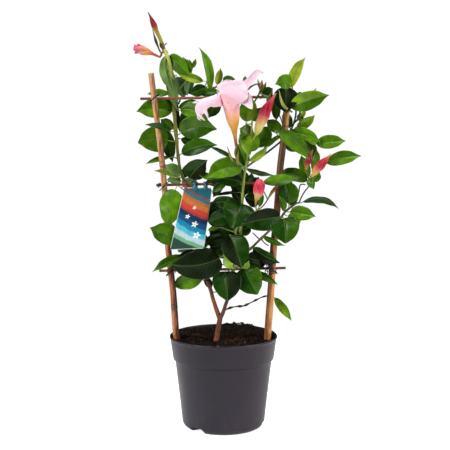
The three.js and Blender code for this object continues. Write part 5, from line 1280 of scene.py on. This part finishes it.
# Calyx points and slender green buds: start, middle and end in the view, radius, tints
SPIKES = {
    "left_vine": [
        ((163.4, 50, 6), (161, 46, 4), (160.2, 40.6, 2), 1.7, (0x4A3A1C, 0x3A2A16, 0x5A4A24)),
        ((163.6, 49, 4), (162.6, 46, 1), (163.4, 42.4, 0), 1.4, (0x6A4A24, 0x5A4A20, 0x4A3A1C)),
        ((163.6, 47, 6), (165.6, 44, 4), (168, 42.6, 2), 0.7, (0x5A4A24, 0x3A2E1C, 0x3A2E1C)),
        ((165, 54, 6), (163.4, 50.6, 6), (162, 47.4, 6), 1.8, (0x9A5A34, 0xA0603C, 0x7A5A34)),
        ((167, 56, 6), (167.2, 52.6, 6), (166.6, 50, 5), 1.2, (0x8A5A34, 0x9A5A3C, 0x8A6A44)),
    ],
    "centre_vine": [
        ((241.8, 168, -16), (234.6, 165, -19),
         (227, 146, -24), 1.5, (0x6A6A2C, 0x8A8438, 0x9A8A3E, 0x6A5424)),
        ((243.6, 169.5, -16), (238, 164.4, -18),
         (238.5, 148.6, -24), 1.6, (0x6E7030, 0x9A9440, 0x8A7A34, 0x5E4820)),
        ((252, 137, -9), (247.5, 131, -14), (245.6, 121.5, -18), 1.4, (0x6A7A34, 0x7A6A34, 0x6A4A3A)),
        ((260.6, 92, -7), (264.4, 86.5, -9), (266.2, 82, -11), 2.0, (0x4A4E14, 0x6A5410, 0x5A3C10)),
        ((260.4, 93, -7), (261.4, 86, -6), (262, 79.6, -6), 2.4, (0x4A4E14, 0x765C12, 0x5A3C10)),
        ((260.2, 91, -7), (259, 85, -2), (257.6, 78.6, 0), 1.5, (0x4A4414, 0x64501A, 0x5A4418)),
        ((259.4, 93, -9), (268.5, 97, -14), (272.5, 90, -17), 1.6, (0x5A6028, 0x7A8034, 0x9A9A48)),
    ],
    "top_right_shoot": [
        ((292, 112, -12), (282.5, 104, -32), (279, 90, -36), 1.9, (0x5A6A28, 0x8A8E38, 0xA0A24A, 0x9AA848)),
        ((300, 109, -8), (299.6, 118, -10), (300.8, 127, -12), 1.3, (0x4A4A24, 0x3A3A20, 0x4A5426)),
    ],
}
# Leaf on the bare twig: root, base and tip in the view, then as in the rows above
LOW_LEAF = ((271.9, 296.6, 2.6), (274.5, 298, 3), (291.5, 321, -6), 10, 30, -3, 2, "bl")
VINES = dict(left_vine=LEFT_VINE, centre_vine=CENTRE_VINE, right_vine=RIGHT_VINE,
             top_right_shoot=TOP_RIGHT_SHOOT)

# Studio: strength of the world's light and of its look behind the object, the floor, and lights by
# name, place, aim, size in metres and power in watts
WORLD_STRENGTH = 0.12
BACKDROP_STRENGTH = 1.02
FLOOR_GLOW = 0.8
FLOOR_RADIUS = 700
FLOOR_SIDES = 96
LIGHTS = [
    ("left_box", (-1.5, -0.9, 1.2), (0, 0, 0.35), (0.6, 1.2), 30),
    ("right_box", (1.6, -0.7, 0.9), (0, 0, 0.3), (0.5, 1.2), 20),
    ("top_box", (0.1, -0.1, 1.9), (0, 0, 0.3), (0.7, 0.7), 19),
]


# Finishes
class Finish:
    """One procedural material: short calls that add and join its nodes."""

    def __init__(self, name, **settings):
        self.material = bpy.data.materials.new(name)
        self.material.use_nodes = True
        self.tree = self.material.node_tree
        self.shader = self.tree.nodes["Principled BSDF"]
        for socket, value in settings.items():
            self.shader.inputs[socket.replace("_", " ")].default_value = value

    def node(self, kind, sockets=None, **settings):
        """A node with its settings, and with its sockets joined to others or given a value."""
        made = self.tree.nodes.new("ShaderNode" + kind)
        for key, value in settings.items():
            setattr(made, key, value)
        for key, value in (sockets or {}).items():
            if isinstance(value, bpy.types.NodeSocket):
                self.tree.links.new(value, made.inputs[key])
            else:
                made.inputs[key].default_value = value
        return made

    def maths(self, operation, a, b=0.0):
        return self.node("Math", {0: a, 1: b}, operation=operation).outputs[0]

    def plus(self, a, b):
        return self.maths("ADD", a, b)

    def minus(self, a, b):
        return self.maths("SUBTRACT", a, b)

    def times(self, a, b):
        return self.maths("MULTIPLY", a, b)

    def ranged(self, value, low, high, to_low=0.0, to_high=1.0, how="LINEAR"):
        sockets = {"Value": value, "From Min": low, "From Max": high, "To Min": to_low, "To Max": to_high}
        return self.node("MapRange", sockets, interpolation_type=how).outputs[0]

    def blend(self, share, a, b, how="MIX"):
        return self.node("Mix", {0: share, 6: a, 7: b}, data_type="RGBA", blend_type=how).outputs[2]

    def mottled(self, tone, share, low, high):
        """The tone times a colour between low and high."""
        return self.blend(1.0, tone, self.blend(share, (*low, 1), (*high, 1)), "MULTIPLY")

    def tint(self):
        return self.mark("tint", "Color")

    def mark(self, name, output="Vector"):
        return self.node("Attribute", attribute_name=name).outputs[output]

    def parts(self, vector):
        return self.node("SeparateXYZ", {0: vector}).outputs

    def spot(self, scale=(1, 1, 1)):
        """Place on the object, stretched by the scale."""
        here = self.node("TexCoord").outputs["Object"]
        return self.node("Mapping", {"Vector": here, "Scale": scale}).outputs[0]

    def noise(self, vector, scale, detail=3.0, rough=0.5, distortion=0.0):
        return self.node("TexNoise", {"Vector": vector, "Scale": scale, "Detail": detail, "Roughness": rough,
                                      "Distortion": distortion}).outputs[0]

    def set(self, **sockets):
        for key, value in sockets.items():
            self.tree.links.new(value, self.shader.inputs[key.replace("_", " ")])
        return self.material

    def finished(self, tone, rough, relief, depth, strength):
        """The material, once it has its colour, its roughness, and a relief of some depth in metres."""
        bump = self.node("Bump", {"Height": relief, "Distance": depth, "Strength": strength})
        return self.set(Base_Color=tone, Roughness=rough, Normal=bump.outputs[0])


def colour(code):
    return (*rgb(code), 1.0)


def leaf_finish():
    """Leaf: the leaf's tone from its mesh, its own green with painted light and shade, mottled by two noises,
    paler along midrib, slanting veins and margin.
    The under side is paler and duller. Veins sink and fine cells stand up in the bump."""
    f = Finish("leaf_blade", IOR=1.45, Specular_IOR_Level=0.2, Specular_Tint=(0.85, 1, 0.7, 1))
    spot = f.spot()
    across, phase, edge = f.parts(f.mark("blade"))
    under = f.parts(f.mark("under"))[0]
    rest = f.maths("ABSOLUTE", f.minus(f.maths("FRACT", phase), 0.5))
    vein = f.ranged(rest, 0.40, 0.5, how="SMOOTHSTEP")
    vein = f.times(vein, f.ranged(edge, 1.0, 0.75))
    midrib = f.ranged(across, 0.95, 0.25, how="SMOOTHSTEP")
    margin = f.ranged(edge, 0.955, 0.99, how="SMOOTHSTEP")
    broad = f.noise(spot, 55, 2, 0.5)
    fine = f.noise(spot, 420, 3, 0.6)
    tone = f.mottled(f.tint(), f.ranged(broad, 0.32, 0.68), (0.62, 0.66, 0.6), (1.42, 1.34, 1.3))
    tone = f.mottled(tone, fine, (0.84, 0.86, 0.84), (1.16, 1.14, 1.16))
    pale = f.blend(0.5, tone, colour(0x9DB872))
    tone = f.blend(f.times(vein, 0.06), tone, pale)
    tone = f.blend(f.times(margin, 0.2), tone, pale)
    below = f.blend(0.42, tone, colour(0x7E9F66))
    tone = f.blend(under, tone, below)
    tone = f.blend(f.times(midrib, 0.4), tone, f.blend(0.5, tone, colour(0x8FAF5A)))
    gloss = f.ranged(broad, 0.3, 0.7, 0.15, 0.3)
    gloss = f.plus(gloss, f.times(under, 0.22))
    depth = f.node("RGBToBW", {0: f.tint()}).outputs[0]
    gloss = f.plus(gloss, f.ranged(depth, 0.035, 0.012, 0, 0.22))
    relief = f.plus(f.times(vein, -0.3), f.times(fine, 0.35))
    return f.finished(tone, gloss, relief, 0.0005, 0.6)


def tinted_finish(name, stretch, scale, contrast, rough, bump, **settings):
    """A surface whose tint comes from its mesh, mottled by a stretched noise that also roughens it."""
    f = Finish(name, **settings)
    grain = f.noise(f.spot(stretch), scale, 4, 0.6)
    patch = f.noise(f.spot(), scale * 0.18, 2, 0.5)
    tone = f.tint()
    for noise, swing in ((grain, contrast), (patch, contrast / 2)):
        tone = f.mottled(tone, f.ranged(noise, 0.3, 0.7), [1 - swing] * 3, [1 + swing] * 3)
    return f.finished(tone, f.ranged(grain, 0.3, 0.7, *rough), grain, bump, 0.7)


def petal_finish():
    """Petal: its tint with soft lilac and cream patches and fine veins, a soft sheen and a faint grain."""
    f = Finish("petal_skin", Sheen_Weight=0.15, Specular_IOR_Level=0.3)
    patch = f.noise(f.spot(), 110, 3, 0.55, 0.6)
    other = f.noise(f.spot((1, 1.3, 0.8)), 60, 2, 0.5)
    tone = f.blend(f.ranged(patch, 0.52, 0.72, 0, 0.2), f.tint(), colour(0xE7C6F2))
    tone = f.blend(f.ranged(other, 0.55, 0.75, 0, 0.15), tone, colour(0xFFEFE6))
    speck = f.noise(f.spot(), 430, 2, 0.6)
    pink = f.ranged(f.node("SeparateColor", {0: f.tint()}).outputs[2], 0.3, 0.45)
    lilac = f.times(f.ranged(speck, 0.54, 0.7, 0, 0.45), pink)
    cream = f.times(f.ranged(speck, 0.42, 0.3, 0, 0.4), pink)
    tone = f.blend(lilac, tone, colour(0xDCC0EE))
    tone = f.blend(cream, tone, colour(0xFFE2DC))
    grain = f.noise(f.spot((1, 1, 0.25)), 900, 3, 0.6)
    return f.finished(tone, f.ranged(patch, 0.3, 0.7, 0.42, 0.6), grain, 0.00012, 0.5)


def pot_finish():
    """Moulded pot: dark warm grey, broad cloudy patches, fine upright scuffs and a pebbled grain, a painted
    highlight that makes its right side lighter and warmer, and a painted shadow line under the collar.
    """
    f = Finish("pot_plastic", Specular_IOR_Level=0.22)
    cloud = f.noise(f.spot((1, 1, 0.6)), 14, 3, 0.55, 0.4)
    scuff = f.noise(f.spot((1, 1, 0.12)), 240, 4, 0.65)
    dust = f.noise(f.spot(), 90, 4, 0.6)
    side, _, height = f.parts(f.spot())
    tone = f.blend(f.ranged(cloud, 0.35, 0.65), colour(0x1B161F), colour(0x251E2A))
    # Painted highlight: the right half of the pot is lighter and warmer, as if lit from that side.
    tone = f.blend(f.ranged(side, 0.0, 0.08, 0, 0.4), tone, colour(0x2C2026))
    tone = f.blend(f.ranged(scuff, 0.6, 0.8, 0, 0.2), tone, colour(0x4A4550))
    low_dust = f.times(f.ranged(dust, 0.5, 0.75, 0, 0.3), f.ranged(height, 0.05, 0.0))
    tone = f.blend(low_dust, tone, colour(0x453D3A))
    lip = f.ranged(height, (POT_HEIGHT - 2.5) * MM, (POT_HEIGHT - 0.5) * MM, 0, 0.22)
    tone = f.blend(f.times(lip, f.ranged(dust, 0.35, 0.6)), tone, colour(0x7A757C))
    # Painted shadow: a dark line just under the collar's ledge.
    off_ledge = f.maths("ABSOLUTE", f.minus(height, (COLLAR_FOOT - 0.4) * MM))
    tone = f.blend(f.ranged(off_ledge, 0.003, 0.0012, 0, 0.8), tone, colour(0x08070A))
    relief = f.plus(f.times(scuff, 0.4), f.noise(f.spot(), 1600, 2, 0.5))
    return f.finished(tone, f.ranged(cloud, 0.3, 0.7, 0.36, 0.5), relief, 0.00012, 0.5)


def soil_finish():
    """Peat: the mesh's tints, broken by two noises, rough and very bumpy, with damp glints."""
    f = Finish("peat", Specular_IOR_Level=0.12)
    coarse = f.noise(f.spot(), 210, 5, 0.72)
    fine = f.noise(f.spot((1, 1.6, 1)), 1100, 4, 0.7)
    tone = f.mottled(f.tint(), f.ranged(coarse, 0.36, 0.66), (0.15, 0.15, 0.16), (1.9, 1.75, 1.6))
    tone = f.blend(f.ranged(fine, 0.66, 0.74, 0, 0.35), tone, colour(0x4A3628))
    relief = f.plus(coarse, f.times(fine, 0.6))
    return f.finished(tone, f.ranged(coarse, 0.35, 0.6, 0.6, 0.95), relief, 0.0012, 0.9)


def wire_finish():
    """Tie wire: black coating with a faint grain and worn grey spots."""
    f = Finish("wire_coat", Specular_IOR_Level=0.4)
    grain = f.noise(f.spot(), 900, 3, 0.6)
    tone = f.blend(f.ranged(grain, 0.55, 0.75), colour(0x121013), colour(0x34302F))
    return f.finished(tone, f.ranged(grain, 0.3, 0.7, 0.4, 0.65), grain, 0.0001, 0.6)


def card_finish():
    """Printed card: sweeping bands of colour bounded by parabolas of the place on the card, small
    five-petalled marks, a pale border, and a glossy film with faint ripples."""
    f = Finish("card_print", Coat_Weight=0.25, Coat_Roughness=0.15)
    u, v, behind = f.parts(f.mark("print"))
    wobble = f.times(f.minus(f.noise(f.mark("print"), 5, 2), 0.5), 0.05)
    slant = f.plus(f.times(u, 0.34), f.times(f.times(u, u), -0.1))
    sweep = f.plus(f.minus(v, slant), f.plus(wobble, 0.24))
    tone = colour(0x12616E)
    for start, code in CARD_BANDS:
        tone = f.blend(f.ranged(sweep, start - 0.012, start + 0.012, how="SMOOTHSTEP"), tone, colour(code))
    cloud = f.ranged(f.noise(f.mark("print"), 9, 3), 0.3, 0.7)
    tone = f.mottled(tone, cloud, (0.86, 0.88, 0.9), (1.1, 1.08, 1.06))
    for centre_u, centre_v, size in CARD_BLOSSOMS:
        x = f.minus(u, centre_u)
        y = f.times(f.minus(v, centre_v), 2.1)
        away = f.maths("SQRT", f.plus(f.times(x, x), f.times(y, y)))
        turn = f.times(f.maths("ARCTAN2", y, x), 5.0)
        reach = f.times(f.plus(f.times(f.maths("COSINE", turn), 0.3), 0.8), size)
        inside = f.ranged(f.minus(reach, away), -0.004, 0.006)
        tone = f.blend(inside, tone, colour(0xEEF2F4))
        tone = f.blend(f.ranged(away, size * 0.3, size * 0.2), tone, colour(0xC8C23A))
    rim_u = f.ranged(f.maths("ABSOLUTE", f.minus(u, 0.5)), 0.485, 0.495)
    rim_v = f.ranged(f.maths("ABSOLUTE", f.minus(v, 0.5)), 0.488, 0.494)
    tone = f.blend(f.maths("MAXIMUM", rim_u, rim_v), tone, colour(0xC9D8C8))
    tone = f.blend(behind, tone, colour(0xC8CCC6))
    film = f.noise(f.mark("print"), 14, 2)
    return f.finished(tone, f.ranged(film, 0.3, 0.7, 0.3, 0.42), film, 0.0004, 0.4)


def floor_finish():
    """Studio floor: near-white paper with a barely visible grain."""
    f = Finish("studio_floor", Roughness=0.9, Specular_IOR_Level=0.1, Emission_Strength=FLOOR_GLOW)
    f.shader.inputs["Emission Color"].default_value = (1, 1, 1, 1)
    grain = f.noise(f.spot(), 300, 2)
    return f.set(Base_Color=f.blend(grain, (0.93, 0.93, 0.93, 1), (0.96, 0.96, 0.96, 1)))


leaf_look = leaf_finish()
stem_look = tinted_finish("stem_skin", (1, 1, 0.2), 500, 0.22, (0.38, 0.55), 0.0003)
bark_look = tinted_finish("bark", (1, 1, 0.35), 420, 0.4, (0.6, 0.85), 0.0008)
bamboo_look = tinted_finish("bamboo", (1, 1, 0.03), 900, 0.2, (0.32, 0.5), 0.00025)
stick_look = tinted_finish("stick", (0.03, 1, 1), 900, 0.25, (0.45, 0.65), 0.0003)
bud_look = tinted_finish("bud_skin", (1, 1, 0.3), 500, 0.1, (0.36, 0.5), 0.0002, Specular_IOR_Level=0.25)
petal_look = petal_finish()
soil_look = soil_finish()
wire_look = wire_finish()

piece("pot_wall", pot_skin(), [pot_finish()], "pot_plastic", "pot")
piece("peat_fill", soil_skin(), [soil_look], "peat_soil", "soil")
for side, cane in CANES.items():
    piece("cane_" + side, cane_skin(cane), [bamboo_look], "bamboo", "stake_" + side)
for level in CROSSBARS:
    piece("stick_" + level, bar_skin(level), [stick_look], "stick_wood", "crossbar_" + level)
    for (side, cane), end, lean in zip(CANES.items(), bar_ends(level), (TIE_LEAN, -TIE_LEAN)):
        course = cane_course(cane, CROSSING_STEPS)
        crossing = course[np.abs(course[:, 2] - end[2]).argmin()]
        node = f"tie_{level}_{side}"
        skin = tie_skin(cane["radii"][0], crossing, lean)
        add_loops(skin, WIRE_LOOPS.get(node, ()))
        piece("wire_" + node, skin, [wire_look], "tie_wire", node)
piece("printed_card", card_skin(), [card_finish()], "tag_plastic", "label_tag")
piece("woody_foot", wood_skin(), [bark_look], "bark", "main_stem")
for number, (node, vine) in enumerate(VINES.items()):
    skin = leafy_skin(vine["stems"], vine["leaves"], SPIKES.get(node, ()), 100 * (number + 1))
    piece("leafy_" + node, skin, [leaf_look, stem_look], "foliage", node)
lone = Skin()
add_leaf(lone, *place(LOW_LEAF[:3]), LOW_LEAF[3:], 500)
piece("lone_leaf", lone, [leaf_look, stem_look], "foliage", "low_leaf")
piece("bloom", flower_skin(), [petal_look], "petal", "flower")
for node, bud in BUDS.items():
    faded = node == "spent_bloom"
    skin = bud_skin(**bud, tips=FADED_TIPS if faded else ())
    look, slot = (petal_look, "faded_petal") if faded else (bud_look, "bud")
    piece("rolled_" + node, skin, [look], slot, node)

# Studio
scene = bpy.context.scene
scene.view_settings.view_transform = "Standard"
turn = circle(FLOOR_SIDES)
edge = FLOOR_RADIUS * np.stack([np.cos(turn), np.sin(turn), 0 * turn], -1)
disc = Skin().add(np.vstack([edge, [[0, 0, 0]]]), [fan(np.arange(FLOOR_SIDES), FLOOR_SIDES, True)])
floor = bpy.data.objects.new("studio_floor", disc.mesh("studio_floor"))
scene.collection.objects.link(floor)
floor.data.materials.append(floor_finish())

world = bpy.data.worlds.new("studio")
scene.world = world
world.use_nodes = True
backdrop = world.node_tree.nodes["Background"]
backdrop.inputs["Color"].default_value = (1, 1, 1, 1)
sight = world.node_tree.nodes.new("ShaderNodeLightPath").outputs["Is Camera Ray"]
level = world.node_tree.nodes.new("ShaderNodeMapRange")
level.inputs["To Min"].default_value = WORLD_STRENGTH
level.inputs["To Max"].default_value = BACKDROP_STRENGTH
world.node_tree.links.new(sight, level.inputs["Value"])
world.node_tree.links.new(level.outputs[0], backdrop.inputs["Strength"])

for name, spot, aim, size, power in LIGHTS:
    data = bpy.data.lights.new(name, "AREA")
    data.shape, data.size, data.size_y, data.energy = "RECTANGLE", size[0], size[1], power
    lamp = bpy.data.objects.new(name, data)
    scene.collection.objects.link(lamp)
    lamp.location = spot
    away = Vector(aim) - Vector(spot)
    lamp.rotation_euler = away.to_track_quat("-Z", "Y").to_euler()

lens = bpy.data.cameras.new("view")
lens.sensor_width = VIEW_SENSOR
lens.lens = VIEW_FOCAL / VIEW_SIZE * VIEW_SENSOR
lens.clip_end = 100
camera = bpy.data.objects.new("view", lens)
scene.collection.objects.link(camera)
camera.location = (VIEW_SIDE * MM, -VIEW_DISTANCE * MM, VIEW_HEIGHT * MM)
camera.rotation_euler = (math.pi / 2 - VIEW_PITCH, 0, 0)
scene.camera = camera
